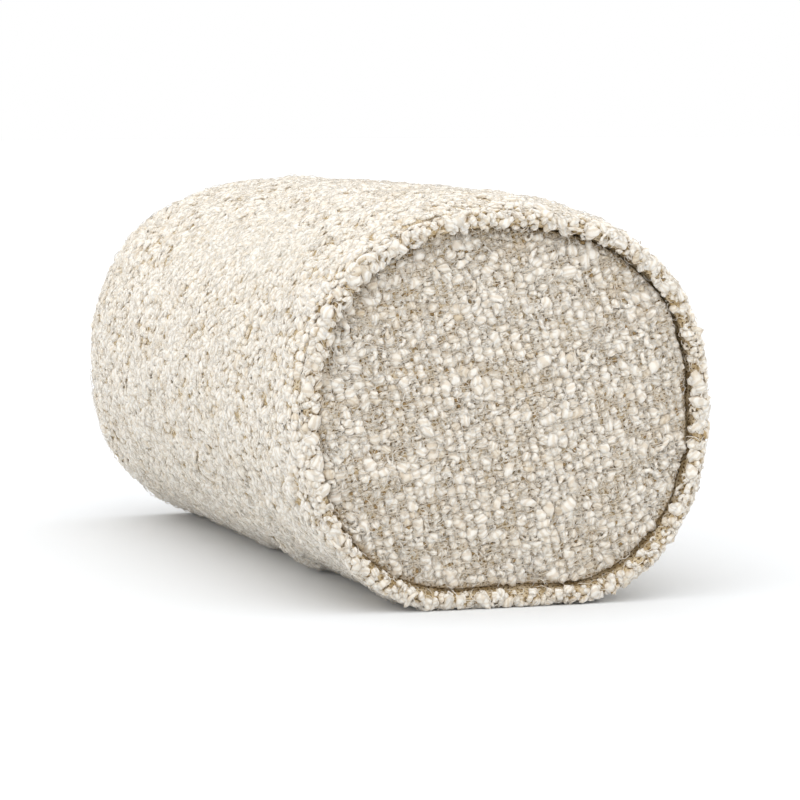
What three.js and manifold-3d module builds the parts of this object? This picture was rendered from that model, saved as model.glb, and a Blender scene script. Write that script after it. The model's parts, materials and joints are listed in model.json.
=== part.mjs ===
// Bolster pillow: a zipped cloth cover with corded end seams over a wrapped foam insert.
// Millimetres. X runs along the pillow, Z is up, and the origin is on the ground under its middle.
// The pillow lies on its side, so every soft piece is turned round as it was sewn and then settled:
// its underside is pressed flat on the ground and its flanks spread a little.

import * as THREE from 'three';
import { mergeVertices } from 'three/addons/utils/BufferGeometryUtils.js';
import Module from 'manifold-3d';

const wasm = await Module();
wasm.setup();

// ---------- Driving dimensions ----------

const sewnLength = 400; // between the planes of the two end seams
const stuffedRadius = 97.2; // of the stuffed tube before it settles
const shoulderLength = 45; // over which the tube draws in towards an end seam
const shoulderDrop = 3.5; // how much smaller its radius is at the seam
const settledDepth = 5.3; // how far the underside is pressed in
const settledSpread = 5.8; // how far each flank moves out
const squareness = 2.32; // exponent of the settled section: 2 would be an ellipse
const columns = 36; // facets around every turned piece

const clothThickness = 3; // looped cloth of the cover
const sewnGap = 0.3; // clearance between pieces that touch
const panelSetback = 1.5; // end panel's rim behind the seam plane
const panelCrown = 7; // rise of an end panel from its rim to its middle

const weltRadius = 4.2; // covered cord of the end seams, outside
const weltCordRadius = 1.6; // filler cord inside it
const weltCordGap = 0.5; // from the cord to its casing
const tailThickness = 1.2; // one layer of the casing's seam allowance
const tailSlot = 0.5; // between the two layers
const tailLength = 8.5; // from the welt to the allowance's raw edge
const tailTilt = 22; // degrees by which the allowance leans to the axis
const threadWidth = 0.7; // a row of stitches in a seam

const zipMargin = 40; // from an end seam to the end of the zip's slit
const zipAngle = -30; // degrees from level, so the zip is low on the back
const slitWidth = 3.2; // between the folded edges over the zip
const tapeWidth = 11.7;
const tapeThickness = 0.5;
const tapeOverrun = 12; // of the tape past the slit
const tapeFlat = 4.4; // of the tape that stays level beside the coil
const tapeLean = 6; // degrees by which the rest follows the cover round
const coilWidth = 2.4;
const coilHeight = 1.6;
const coilGap = 1.6; // between the two coils, for the slider's wedge
const stopLength = 3;
const stopInset = 6; // from the slit's end to the coil's end
const zipGap = 0.3; // running clearance inside the zip

const sliderLength = 11;
const sliderWidth = 8.6;
const sliderTail = 6.4; // width of its narrow end
const plateThickness = 0.8;
const sliderSink = 0.9; // from the cloth to the slider's upper plate
const sliderParking = 12; // from the slit's end to the middle of the closed slider
const bridgeWidth = 1.8; // arch that carries the pull, through the slit
const bridgeWall = 0.9;
const bridgeHalfSpan = 3.4;
const pullLength = 24;
const pullWidth = 6.5;
const pullThickness = 1.2;
const pullLift = 1.8; // pivot above the cloth
const pullEye = 3.8; // length of the pull's eye past its cross-bar
const pullHoleLength = 8;
const pullHoleWidth = 2.6;

const stitchOffset = 7; // from the slit's middle to a row of topstitching
const bartackLength = 2.5;
const bartackWidth = 8;
const bartackHeight = 0.5;
const labelWidth = 22;
const labelDrop = 17; // degrees round the pillow that the label covers
const labelThickness = 0.5;
const labelGap = 0.8; // from the cloth to the label's back
const labelSeamInset = 9; // from the end seam to the label

const insertGap = 0.7; // from the cover to the insert
const insertCorner = 24; // radius of the insert's shoulders
const insertEndInset = 9; // from the end seam to the rim of the insert's end
const insertCrown = 10;
const casingThickness = 0.8; // cambric casing of the insert
const battingThickness = 15;
const layerGap = 0.6; // between the insert's layers
const zipDent = 5.7; // how far the insert gives way along the zip

// ---------- Derived places ----------

const seamX = sewnLength / 2;
const seamRadius = stuffedRadius - shoulderDrop;
const weltCentre = new THREE.Vector2(seamRadius - weltRadius, seamX);
const tubeEndX = seamX - weltRadius - sewnGap;
const panelRadius = weltCentre.x - weltRadius - sewnGap;
const slitHalf = seamX - zipMargin;
const coilHalf = slitHalf - stopInset;
const sliderX = slitHalf - sliderParking;

const plateTop = clothThickness + sliderSink; // depths below the cloth's face
const coilTop = plateTop + plateThickness + zipGap;
const tapeTop = coilTop + coilHeight + zipGap;
const lowerPlateTop = tapeTop + tapeThickness + zipGap;

const insertRadius = stuffedRadius - clothThickness - insertGap;
const insertEndX = seamX - insertEndInset;
const cornerCentre = new THREE.Vector2(insertRadius - insertCorner, insertEndX - insertCorner);
const battingInset = casingThickness + layerGap;
const foamInset = battingInset + battingThickness + layerGap;

const columnAngle = (2 * Math.PI) / columns;
const zipPhi = THREE.MathUtils.degToRad(zipAngle);

// ---------- The settled shape ----------

/** Outer radius of the stuffed tube at x, before it settles. */
function tubeRadius(x) {
  const inward = (seamX - Math.abs(x)) / shoulderLength;
  const t = THREE.MathUtils.clamp(inward, 0, 1);
  return stuffedRadius - shoulderDrop * (1 - Math.sqrt(1 - (1 - t) ** 2));
}

/** Where a point of the turned pillow, at x, radius and angle, goes when the pillow settles. */
function settle(x, radius, phi) {
  const cos = Math.cos(phi);
  const sin = Math.sin(phi);
  const swell = (Math.abs(cos) ** squareness + Math.abs(sin) ** squareness) ** (-1 / squareness);
  const floorShare = 1 - settledDepth / stuffedRadius;
  const height = floorShare * tubeRadius(x) + radius * Math.max(swell * sin, -floorShare);
  const across = radius * (1 + settledSpread / stuffedRadius) * swell * cos;
  return new THREE.Vector3(x, across, height);
}

/** Share of the zip's dent that reaches the insert at an angle: all of it for one column each side. */
function dentShare(phi) {
  const away = Math.abs(Math.atan2(Math.sin(phi - zipPhi), Math.cos(phi - zipPhi))) / columnAngle;
  return THREE.MathUtils.clamp(2 - away, 0, 1);
}

// ---------- Making closed bodies ----------

/** Merges a geometry's corners, drops faces with no area and turns it the right way out. */
function closedBody(geometry) {
  const bare = geometry.clone();
  bare.deleteAttribute('normal');
  bare.deleteAttribute('uv');
  const merged = mergeVertices(bare, 1e-4);
  const place = merged.getAttribute('position');
  const index = merged.getIndex().array;
  const corners = [0, 1, 2].map(() => new THREE.Vector3());
  const faces = [];
  let volume = 0;
  for (let i = 0; i < index.length; i += 3) {
    const face = [index[i], index[i + 1], index[i + 2]];
    if (new Set(face).size < 3) continue;
    face.forEach((vertex, k) => corners[k].fromBufferAttribute(place, vertex));
    volume += corners[0].dot(corners[1].clone().cross(corners[2]));
    faces.push(face);
  }
  merged.setIndex(faces.flatMap(([a, b, c]) => (volume > 0 ? [a, b, c] : [a, c, b])));
  merged.computeVertexNormals();
  return merged;
}

/** A solid that can be joined or cut, from a closed geometry. */
function asSolid(geometry) {
  const body = closedBody(geometry);
  return new wasm.Manifold(new wasm.Mesh({
    numProp: 3,
    vertProperties: new Float32Array(body.getAttribute('position').array),
    triVerts: new Uint32Array(body.getIndex().array),
  }));
}

/** The geometry of a joined or cut solid. */
function asGeometry(solid) {
  const mesh = solid.getMesh();
  const geometry = new THREE.BufferGeometry();
  geometry.setAttribute('position', new THREE.BufferAttribute(new Float32Array(mesh.vertProperties), 3));
  geometry.setIndex(new THREE.BufferAttribute(new Uint32Array(mesh.triVerts), 1));
  return closedBody(geometry);
}

/** Moves every corner of a geometry to the place that the function gives. */
function reshape(geometry, placeOf) {
  const place = geometry.getAttribute('position');
  const corner = new THREE.Vector3();
  for (let i = 0; i < place.count; i += 1) {
    const moved = placeOf(corner.fromBufferAttribute(place, i));
    place.setXYZ(i, moved.x, moved.y, moved.z);
  }
  return closedBody(geometry);
}

/** Turns a profile of (radius, x) points about the pillow's axis and settles it. */
function turned(profile, dent = 0) {
  const lathe = new THREE.LatheGeometry(profile, columns);
  return reshape(lathe, ({ x, y, z }) => {
    const phi = Math.atan2(x, z);
    const radius = Math.hypot(x, z) * (1 - (dent * dentShare(phi)) / insertRadius);
    return settle(y, radius, phi);
  });
}

/** The same profile at the pillow's other end. */
function mirrored(profile) {
  return profile.map(({ x, y }) => new THREE.Vector2(x, -y));
}

/** A closed profile from its corners. */
function loop(points) {
  return [...points, points[0].clone()];
}

/** A slab that follows the cover's surface, between two places along X, two angles and two offsets. */
function wrapped(x, phi, offset, steps) {
  const box = new THREE.BoxGeometry(x[1] - x[0], phi[1] - phi[0], offset[1] - offset[0], 4, steps, 1);
  box.translate((x[0] + x[1]) / 2, (phi[0] + phi[1]) / 2, (offset[0] + offset[1]) / 2);
  return reshape(box, (corner) => settle(corner.x, tubeRadius(corner.x) + corner.z, corner.y));
}

// ---------- Materials ----------

/** A plain material with the colour, roughness and metalness of one finish. */
function finish(color, roughness, metalness = 0) {
  return new THREE.MeshStandardMaterial({ color, roughness, metalness });
}

const finishes = {
  looped: finish('#d9cbb7', 0.95),
  thread: finish('#e4dac8', 0.8),
  cord: finish('#efece4', 0.9),
  tape: finish('#e2d8c6', 0.85),
  nylon: finish('#ddd2bf', 0.45),
  metal: finish('#a79d8c', 0.35, 1),
  satin: finish('#f2f0ea', 0.55),
  cambric: finish('#f4f2ec', 0.85),
  fibre: finish('#f7f7f5', 0.95),
  foam: finish('#efe7cf', 0.95),
};

const bolster = new THREE.Group();

/** Adds one named piece to a group and returns it. */
function add(name, geometry, material, group = bolster) {
  const mesh = new THREE.Mesh(geometry, material);
  mesh.name = name;
  group.add(mesh);
  return mesh;
}

// ---------- Zip frame: X along the slit, Y down the cloth, Z out of it ----------

const zipFrame = new THREE.Group();
{
  const above = settle(0, stuffedRadius, zipPhi + columnAngle);
  const below = settle(0, stuffedRadius, zipPhi - columnAngle);
  const down = below.sub(above);
  zipFrame.position.copy(settle(0, stuffedRadius, zipPhi));
  zipFrame.rotation.x = Math.atan2(down.z, down.y);
  zipFrame.updateMatrix();
}

/** A box in the zip's frame, from its limits along each axis. */
function zipBox(x, y, z) {
  const box = new THREE.BoxGeometry(x[1] - x[0], y[1] - y[0], z[1] - z[0]);
  return box.translate((x[0] + x[1]) / 2, (y[0] + y[1]) / 2, (z[0] + z[1]) / 2);
}

// ---------- Cover: tube, end panels and corded end seams ----------

/** Places along X where the tube's wall bends, from the middle to its end. */
function tubeStations(steps) {
  const start = seamX - shoulderLength;
  return Array.from({ length: steps + 1 }, (_, i) => start + (tubeEndX - start) * Math.sqrt(i / steps));
}

/** The tube's profile: outside along X, and back along the inside. */
function tubeProfile() {
  const side = (steps, thickness) => {
    const half = tubeStations(steps);
    const all = [...half.map((x) => -x).reverse(), ...half];
    return all.map((x) => new THREE.Vector2(tubeRadius(x) - thickness, x));
  };
  return loop([...side(5, 0), ...side(3, clothThickness).reverse()]);
}

function makeBodyPanel() {
  const slit = zipBox(
    [-slitHalf, slitHalf],
    [-slitWidth / 2, slitWidth / 2],
    [-2 * clothThickness, clothThickness],
  ).applyMatrix4(zipFrame.matrix);
  return asGeometry(asSolid(turned(tubeProfile())).subtract(asSolid(slit)));
}

/** An end panel's profile, crowned from its rim to its middle. */
function panelProfile() {
  const face = (steps, thickness) => Array.from({ length: steps + 1 }, (_, i) => {
    const radius = (panelRadius * i) / steps;
    const rise = panelCrown * (1 - (radius / panelRadius) ** 2);
    return new THREE.Vector2(radius, seamX - panelSetback - thickness + rise);
  });
  return [...face(4, 0), ...face(3, clothThickness).reverse()];
}

/** Points on an arc about the welt's centre, with 0 degrees along its seam allowance. */
function weltPoint(along, across) {
  const tilt = THREE.MathUtils.degToRad(tailTilt);
  const radius = weltCentre.x - along * Math.sin(tilt) + across * Math.cos(tilt);
  const x = weltCentre.y - along * Math.cos(tilt) - across * Math.sin(tilt);
  return new THREE.Vector2(radius, x);
}

function weltArc(radius, from, to, steps) {
  return Array.from({ length: steps + 1 }, (_, i) => {
    const angle = from + ((to - from) * i) / steps;
    return weltPoint(radius * Math.cos(angle), radius * Math.sin(angle));
  });
}

/** The casing's profile: a strip of cloth round the cord, and its two layers of allowance. */
function weltProfile() {
  const outer = tailSlot / 2 + tailThickness;
  const inner = tailSlot / 2;
  const bore = weltCordRadius + weltCordGap;
  const outerStart = Math.asin(outer / weltRadius);
  const boreStart = Math.asin(inner / bore);
  const rawEdge = weltRadius + tailLength;
  return loop([
    weltPoint(rawEdge, outer),
    ...weltArc(weltRadius, outerStart, 2 * Math.PI - outerStart, 7),
    weltPoint(rawEdge, -outer),
    weltPoint(rawEdge, -inner),
    ...weltArc(bore, 2 * Math.PI - boreStart, boreStart, 6),
    weltPoint(rawEdge, inner),
  ]);
}

function weltCordProfile() {
  return loop(weltArc(weltCordRadius, 0, (5 / 3) * Math.PI, 5));
}

/** A row of stitches round the end seam, on the outer layer of the allowance. */
function endSeamProfile() {
  const base = tailSlot / 2 + tailThickness + sewnGap;
  const start = weltRadius + tailLength / 2;
  return loop([
    weltPoint(start, base),
    weltPoint(start + threadWidth, base),
    weltPoint(start + threadWidth, base + threadWidth),
    weltPoint(start, base + threadWidth),
  ]);
}

function addCover() {
  add('body_panel', makeBodyPanel(), finishes.looped);
  const pieces = [
    ['end_panel', panelProfile(), finishes.looped],
    ['welt_casing', weltProfile(), finishes.looped],
    ['welt_cord', weltCordProfile(), finishes.cord],
    ['end_seam_thread', endSeamProfile(), finishes.thread],
  ];
  for (const [name, profile, material] of pieces) {
    add(`${name}_front`, turned(profile), material);
    add(`${name}_rear`, turned(mirrored(profile)), material);
  }
}

// ---------- Long seam beyond the zip, and the label sewn into it ----------

function addLongSeam() {
  const start = slitHalf + tapeOverrun + sewnGap;
  const end = tubeEndX - tailLength / 2;
  const halfTurn = threadWidth / 2 / stuffedRadius;
  const depth = -clothThickness - sewnGap;
  for (const [name, side] of [['front', 1], ['rear', -1]]) {
    const x = [start * side, end * side].sort((a, b) => a - b);
    const phi = [zipPhi - halfTurn, zipPhi + halfTurn];
    add(`long_seam_thread_${name}`, wrapped(x, phi, [depth - threadWidth, depth], 1), finishes.thread);
  }
  const labelEnd = seamX - labelSeamInset;
  const labelPhi = [zipPhi - THREE.MathUtils.degToRad(labelDrop), zipPhi];
  const offsets = [labelGap, labelGap + labelThickness];
  add('care_label', wrapped([labelEnd - labelWidth, labelEnd], labelPhi, offsets, 3), finishes.satin);
}

// ---------- Zip ----------

/** Section of one tape across X: level beside the coil, then leaning with the cover. */
function tapeSection(side) {
  const edge = coilGap / 2;
  const bend = edge + tapeFlat;
  const fall = (tapeWidth - tapeFlat) * Math.tan(THREE.MathUtils.degToRad(tapeLean));
  const top = [[edge, -tapeTop], [bend, -tapeTop], [edge + tapeWidth, -tapeTop - fall]];
  const under = top.map(([y, z]) => [y, z - tapeThickness]).reverse();
  return new THREE.Shape([...top, ...under].map(([y, z]) => new THREE.Vector2(side * y, z)));
}

/** A section in (Y, Z) drawn out along X between two places. */
function alongX(section, from, to) {
  const solid = new THREE.ExtrudeGeometry(section, { depth: to - from, bevelEnabled: false });
  return reshape(solid, ({ x, y, z }) => new THREE.Vector3(from + z, x, y));
}

/** An outline in (X, Y) with a thickness between two heights. */
function plate(outline, low, high) {
  const solid = new THREE.ExtrudeGeometry(outline, {
    depth: high - low,
    bevelEnabled: false,
    curveSegments: 4,
  });
  return solid.translate(0, 0, low);
}

/** Plan of a slider plate: wide shoulders ahead of the wedge and a narrow tail. */
function sliderPlan() {
  const half = sliderLength / 2;
  const wide = sliderWidth / 2;
  const narrow = sliderTail / 2;
  const nose = half - 2;
  const outline = [[-half, -narrow], [0, -wide], [nose, -wide], [half, -narrow]];
  const back = outline.map(([x, y]) => [x, -y]).reverse();
  return new THREE.Shape([...outline, ...back].map(([x, y]) => new THREE.Vector2(x, y)));
}

function makeSlider() {
  const wide = sliderWidth / 2;
  const flange = coilGap / 2 + coilWidth + zipGap;
  const top = asSolid(plate(sliderPlan(), -plateTop - plateThickness, -plateTop));
  const bottom = asSolid(plate(sliderPlan(), -lowerPlateTop - plateThickness, -lowerPlateTop));
  const wedgeHalf = coilGap / 2 - zipGap;
  const wedge = asSolid(zipBox(
    [sliderLength / 2 - 4, sliderLength / 2 - 1],
    [-wedgeHalf, wedgeHalf],
    [-lowerPlateTop - plateThickness / 2, -plateTop - plateThickness / 2],
  ));
  const lips = [-1, 1].map((side) => asSolid(zipBox(
    [0, sliderLength / 2 - 2],
    [side * flange, side * wide].sort((a, b) => a - b),
    [-tapeTop + zipGap, -plateTop - plateThickness / 2],
  )));
  const barReach = Math.hypot(pullThickness, pullThickness) / 2;
  const archInner = pullLift + barReach + zipGap;
  const halfWidth = bridgeWidth / 2;
  const arch = asSolid(zipBox(
    [-bridgeHalfSpan, bridgeHalfSpan],
    [-halfWidth, halfWidth],
    [-plateTop - plateThickness / 2, archInner + bridgeWall],
  ));
  const windowHalf = bridgeHalfSpan - bridgeWall - zipGap;
  const window = asSolid(zipBox([-windowHalf, windowHalf], [-wide, wide], [-plateTop + plateThickness, archInner]));
  const solid = [bottom, wedge, ...lips, arch.subtract(window)].reduce((whole, part) => whole.add(part), top);
  return asGeometry(solid);
}

/** Plan of the pull: a rounded tab with an eye for the bridge and a slot for a fingertip's grip. */
function pullPlan() {
  const half = pullWidth / 2;
  const bar = pullThickness / 2;
  const end = bar - pullLength;
  const outline = new THREE.Shape();
  outline.moveTo(bar, -half);
  outline.lineTo(bar, half);
  outline.lineTo(end + half, half);
  outline.absarc(end + half, 0, half, Math.PI / 2, (3 * Math.PI) / 2, false);
  outline.lineTo(bar, -half);
  const eyeHalf = bridgeWidth / 2 + zipGap;
  const eye = new THREE.Path([
    new THREE.Vector2(-bar, -eyeHalf),
    new THREE.Vector2(-bar - pullEye, -eyeHalf),
    new THREE.Vector2(-bar - pullEye, eyeHalf),
    new THREE.Vector2(-bar, eyeHalf),
  ]);
  const slotEnd = end + half;
  const slotHalf = pullHoleWidth / 2;
  const slot = new THREE.Path();
  slot.absarc(slotEnd, 0, slotHalf, (3 * Math.PI) / 2, Math.PI / 2, true);
  slot.absarc(slotEnd + pullHoleLength - pullHoleWidth, 0, slotHalf, Math.PI / 2, -Math.PI / 2, true);
  outline.holes.push(eye, slot);
  return outline;
}

function addZip() {
  const stops = coilHalf + zipGap;
  const stopHalf = coilGap / 2 + coilWidth;
  const stopHeights = [-coilTop - coilHeight, -coilTop];
  for (const [name, side] of [['upper', -1], ['lower', 1]]) {
    const tapeEnd = slitHalf + tapeOverrun;
    add(`zip_tape_${name}`, alongX(tapeSection(side), -tapeEnd, tapeEnd), finishes.tape, zipFrame);
    const coilSides = [side * coilGap / 2, side * (coilGap / 2 + coilWidth)].sort((a, b) => a - b);
    const coil = zipBox([-coilHalf, coilHalf], coilSides, stopHeights);
    add(`zip_coil_${name}`, closedBody(coil), finishes.nylon, zipFrame);
    const row = [side * stitchOffset - threadWidth / 2, side * stitchOffset + threadWidth / 2];
    const surface = sewnGap - (stitchOffset - threadWidth) * Math.tan(columnAngle / 2);
    const stitches = zipBox([-slitHalf, slitHalf], row, [surface, surface + threadWidth]);
    add(`zip_stitching_${name}`, closedBody(stitches), finishes.thread, zipFrame);
  }
  const topStop = zipBox([stops, stops + stopLength], [-stopHalf, stopHalf], stopHeights);
  add('zip_top_stop', closedBody(topStop), finishes.metal, zipFrame);
  const bottomStop = zipBox([-stops - stopLength, -stops], [-stopHalf, stopHalf], stopHeights);
  add('zip_bottom_stop', closedBody(bottomStop), finishes.metal, zipFrame);
  for (const [name, side] of [['front', 1], ['rear', -1]]) {
    const x = [side * (slitHalf + sewnGap), side * (slitHalf + sewnGap + bartackLength)];
    const heights = [sewnGap, sewnGap + bartackHeight];
    const tack = zipBox(x.sort((a, b) => a - b), [-bartackWidth / 2, bartackWidth / 2], heights);
    add(`zip_bartack_${name}`, closedBody(tack), finishes.thread, zipFrame);
  }
  add('zip_slider', makeSlider(), finishes.metal, zipFrame).position.x = sliderX;
  const pull = plate(pullPlan(), pullLift - pullThickness / 2, pullLift + pullThickness / 2);
  add('zip_pull', closedBody(pull), finishes.metal, zipFrame).position.x = sliderX;
  bolster.add(zipFrame);
}

// ---------- Insert: casing, fibre wrap and foam core ----------

/** Points on the insert's rounded shoulder, at an inset from its outside. 0 degrees faces outwards. */
function shoulder(inset, from, to, steps) {
  return Array.from({ length: steps + 1 }, (_, i) => {
    const angle = THREE.MathUtils.degToRad(from + ((to - from) * i) / steps);
    const radius = insertCorner - inset;
    return new THREE.Vector2(
      cornerCentre.x + radius * Math.cos(angle),
      cornerCentre.y + radius * Math.sin(angle),
    );
  });
}

/** Both shoulders, with the straight side between them. */
function sideFace(inset, to) {
  const front = shoulder(inset, 0, to, 2);
  return [...mirrored(front).reverse(), ...front];
}

/** An end face from its shoulder to the axis, crowned towards the middle. */
function endFace(inset, crown, from) {
  const middle = [0.5, 0].map((share) => new THREE.Vector2(
    cornerCentre.x * share,
    insertEndX - inset + crown * (1 - share ** 2),
  ));
  return [...shoulder(inset, from, 90, 2), ...middle];
}

const insertSeamAngle = 45; // of the seam between casing and end, on the shoulder
const insertSeamHalf = 1; // degrees to each side of it that stay clear

function insertSeamProfile() {
  const low = -sewnGap - threadWidth;
  const from = insertSeamAngle - insertSeamHalf;
  const to = insertSeamAngle + insertSeamHalf;
  return loop([...shoulder(low, from, to, 1), ...shoulder(-sewnGap, to, from, 1)]);
}

function addInsert() {
  const sideTo = insertSeamAngle - insertSeamHalf;
  const endFrom = insertSeamAngle + insertSeamHalf;
  const layer = (outer, inner) => loop([...sideFace(outer, sideTo), ...sideFace(inner, sideTo).reverse()]);
  const disc = (outer, inner, innerCrown) => [
    ...endFace(outer, insertCrown, endFrom).reverse(),
    ...endFace(inner, innerCrown, endFrom),
  ];
  const battingInner = battingInset + battingThickness;
  add('insert_tube', turned(layer(0, casingThickness), zipDent), finishes.cambric);
  add('batting_wrap', turned(layer(battingInset, battingInner), zipDent), finishes.fibre);
  const foam = endFace(foamInset, 0, 0);
  add('foam_core', turned([...mirrored(foam).reverse(), ...foam], zipDent), finishes.foam);
  const ends = [
    ['insert_end', disc(0, casingThickness, insertCrown), finishes.cambric],
    ['batting_disc', disc(battingInset, battingInner, 0), finishes.fibre],
    ['insert_seam_thread', insertSeamProfile(), finishes.thread],
  ];
  for (const [name, profile, material] of ends) {
    add(`${name}_front`, turned(profile, zipDent), material);
    add(`${name}_rear`, turned(mirrored(profile), zipDent), material);
  }
}

addCover();
addLongSeam();
addZip();
addInsert();

export default bolster;
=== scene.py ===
"""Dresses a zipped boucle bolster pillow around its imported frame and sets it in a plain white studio.

The cover is three layers: a woven ground, which cloth simulation fills out, the curled loops of the boucle
yarn standing on it as real lumps of wool, and loose fibres. The end seams are corded, the zip lies in the
long seam low on the back, and inside are the casing, the fibre wrap and the foam.
"""

from __future__ import annotations

import json
import logging
import math
from dataclasses import dataclass, field
from enum import Enum

import bpy
import numpy as np
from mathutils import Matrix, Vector

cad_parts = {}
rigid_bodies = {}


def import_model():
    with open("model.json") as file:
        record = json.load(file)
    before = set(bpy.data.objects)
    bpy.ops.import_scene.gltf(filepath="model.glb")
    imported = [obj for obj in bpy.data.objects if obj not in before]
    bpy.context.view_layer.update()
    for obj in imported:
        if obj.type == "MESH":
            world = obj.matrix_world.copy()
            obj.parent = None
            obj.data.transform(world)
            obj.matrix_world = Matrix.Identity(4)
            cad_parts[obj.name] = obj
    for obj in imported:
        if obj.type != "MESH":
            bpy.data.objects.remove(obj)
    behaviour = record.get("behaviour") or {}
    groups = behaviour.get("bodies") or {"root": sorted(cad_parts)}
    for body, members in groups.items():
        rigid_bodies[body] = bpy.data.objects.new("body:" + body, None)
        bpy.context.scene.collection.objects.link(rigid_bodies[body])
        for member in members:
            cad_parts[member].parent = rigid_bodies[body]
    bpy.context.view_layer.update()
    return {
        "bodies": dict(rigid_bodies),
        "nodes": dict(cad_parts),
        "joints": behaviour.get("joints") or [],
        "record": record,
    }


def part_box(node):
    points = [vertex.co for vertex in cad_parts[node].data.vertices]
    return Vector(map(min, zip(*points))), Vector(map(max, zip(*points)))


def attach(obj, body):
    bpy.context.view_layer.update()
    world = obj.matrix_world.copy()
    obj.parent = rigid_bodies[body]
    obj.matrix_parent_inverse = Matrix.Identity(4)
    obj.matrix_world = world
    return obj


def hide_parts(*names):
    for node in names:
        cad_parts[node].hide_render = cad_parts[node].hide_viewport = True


logging.basicConfig(level=logging.INFO, format="%(message)s")
log = logging.getLogger("bolster")

Material = bpy.types.Material
Tree = bpy.types.NodeTree
Socket = bpy.types.NodeSocket
Stops = list[tuple[float, str]] | tuple
Places = tuple[np.ndarray, np.ndarray, np.ndarray]

MM = 0.001
SEED = 816
ZIP_ANGLE = math.radians(-30)
FLOOR_CLEARANCE = 0.1 * MM
MULTIPLY = {"data_type": "RGBA", "blend_type": "MULTIPLY"}


# ---------- Small helpers ----------


def linear(hex_colour: str) -> tuple[float, float, float, float]:
    """Turns an sRGB hex colour into linear red, green, blue and an alpha of 1.

    Args:
        hex_colour: Six hex digits, with or without a leading hash.

    Returns:
        The colour as a shader socket takes it.
    """
    digits = hex_colour.lstrip("#")
    srgb = [int(digits[i : i + 2], 16) / 255 for i in (0, 2, 4)]
    red, green, blue = (c / 12.92 if c <= 0.04045 else ((c + 0.055) / 1.055) ** 2.4 for c in srgb)
    return red, green, blue, 1.0


def pick(piece: bpy.types.Object) -> None:
    """Selects one object alone and makes it the active one."""
    bpy.ops.object.select_all(action="DESELECT")
    piece.select_set(True)
    bpy.context.view_layer.objects.active = piece


def unit(vectors: np.ndarray) -> np.ndarray:
    """The vectors at length 1."""
    length = np.linalg.norm(vectors, axis=-1, keepdims=True)
    return vectors / np.maximum(length, 1e-12)


def square_to(normal: np.ndarray, along: np.ndarray) -> np.ndarray:
    """Directions turned square to the normals, at length 1."""
    return unit(along - normal * (along * normal).sum(-1, keepdims=True))


def full_turn(count: int) -> np.ndarray:
    """Evenly spaced angles round a full turn."""
    return np.arange(count) * 2 * math.pi / count


def from_zip(phi: np.ndarray) -> np.ndarray:
    """How far round from the zip an angle is, between minus and plus half a turn."""
    return (phi - ZIP_ANGLE + math.pi) % (2 * math.pi) - math.pi


def length_to(places: np.ndarray) -> np.ndarray:
    """How far along a line of places each one is, from the first."""
    return np.concatenate([[0], np.cumsum(np.linalg.norm(np.diff(places, axis=0), axis=1))])


def smooth_step(value: np.ndarray, low: float, high: float) -> np.ndarray:
    """Rises smoothly from 0 at low to 1 at high."""
    t = np.clip((value - low) / (high - low), 0, 1)
    return t * t * (3 - 2 * t)


def make_mesh(name: str, vertices: np.ndarray, faces: list[np.ndarray]) -> bpy.types.Object:
    """Makes a smooth-shaded object from arrays.

    Args:
        name: The piece's name.
        vertices: Points in metres, one row each.
        faces: Arrays of vertex numbers, each with one face a row, of any number of corners.

    Returns:
        The new object, in the scene and at the origin.
    """
    mesh = bpy.data.meshes.new(name)
    sizes = np.concatenate([np.full(len(group), group.shape[1]) for group in faces])
    corners = np.concatenate([group.ravel() for group in faces]).astype(np.int32)
    mesh.vertices.add(len(vertices))
    mesh.vertices.foreach_set("co", np.asarray(vertices, np.float32).ravel())
    mesh.loops.add(len(corners))
    mesh.loops.foreach_set("vertex_index", corners)
    mesh.polygons.add(len(sizes))
    mesh.polygons.foreach_set("loop_start", (np.cumsum(sizes) - sizes).astype(np.int32))
    mesh.polygons.foreach_set("loop_total", sizes.astype(np.int32))
    mesh.polygons.foreach_set("use_smooth", np.ones(len(sizes), bool))
    mesh.update(calc_edges=True)
    piece = bpy.data.objects.new(name, mesh)
    bpy.context.scene.collection.objects.link(piece)
    return piece


def set_attribute(piece: bpy.types.Object, name: str, values: np.ndarray) -> None:
    """Stores one number for each vertex, for the material to read."""
    attribute = piece.data.attributes.new(name, "FLOAT", "POINT")
    attribute.data.foreach_set("value", np.asarray(values, np.float32).ravel())


def set_cloth(piece: bpy.types.Object, along: np.ndarray, across: np.ndarray) -> None:
    """Stores where each vertex lies on the flat cloth, for its weave."""
    set_uv(piece, "cloth", np.stack(np.broadcast_arrays(along, across), -1).reshape(-1, 2))


def set_uv(piece: bpy.types.Object, name: str, places: np.ndarray) -> None:
    """Stores a UV map from one place for each vertex."""
    mesh = piece.data
    corners = np.empty(len(mesh.loops), np.int32)
    mesh.loops.foreach_get("vertex_index", corners)
    layer = mesh.uv_layers.new(name=name, do_init=False)
    layer.uv.foreach_set("vector", np.asarray(places, np.float32)[corners].ravel())


# ---------- The settled shape ----------


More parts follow.
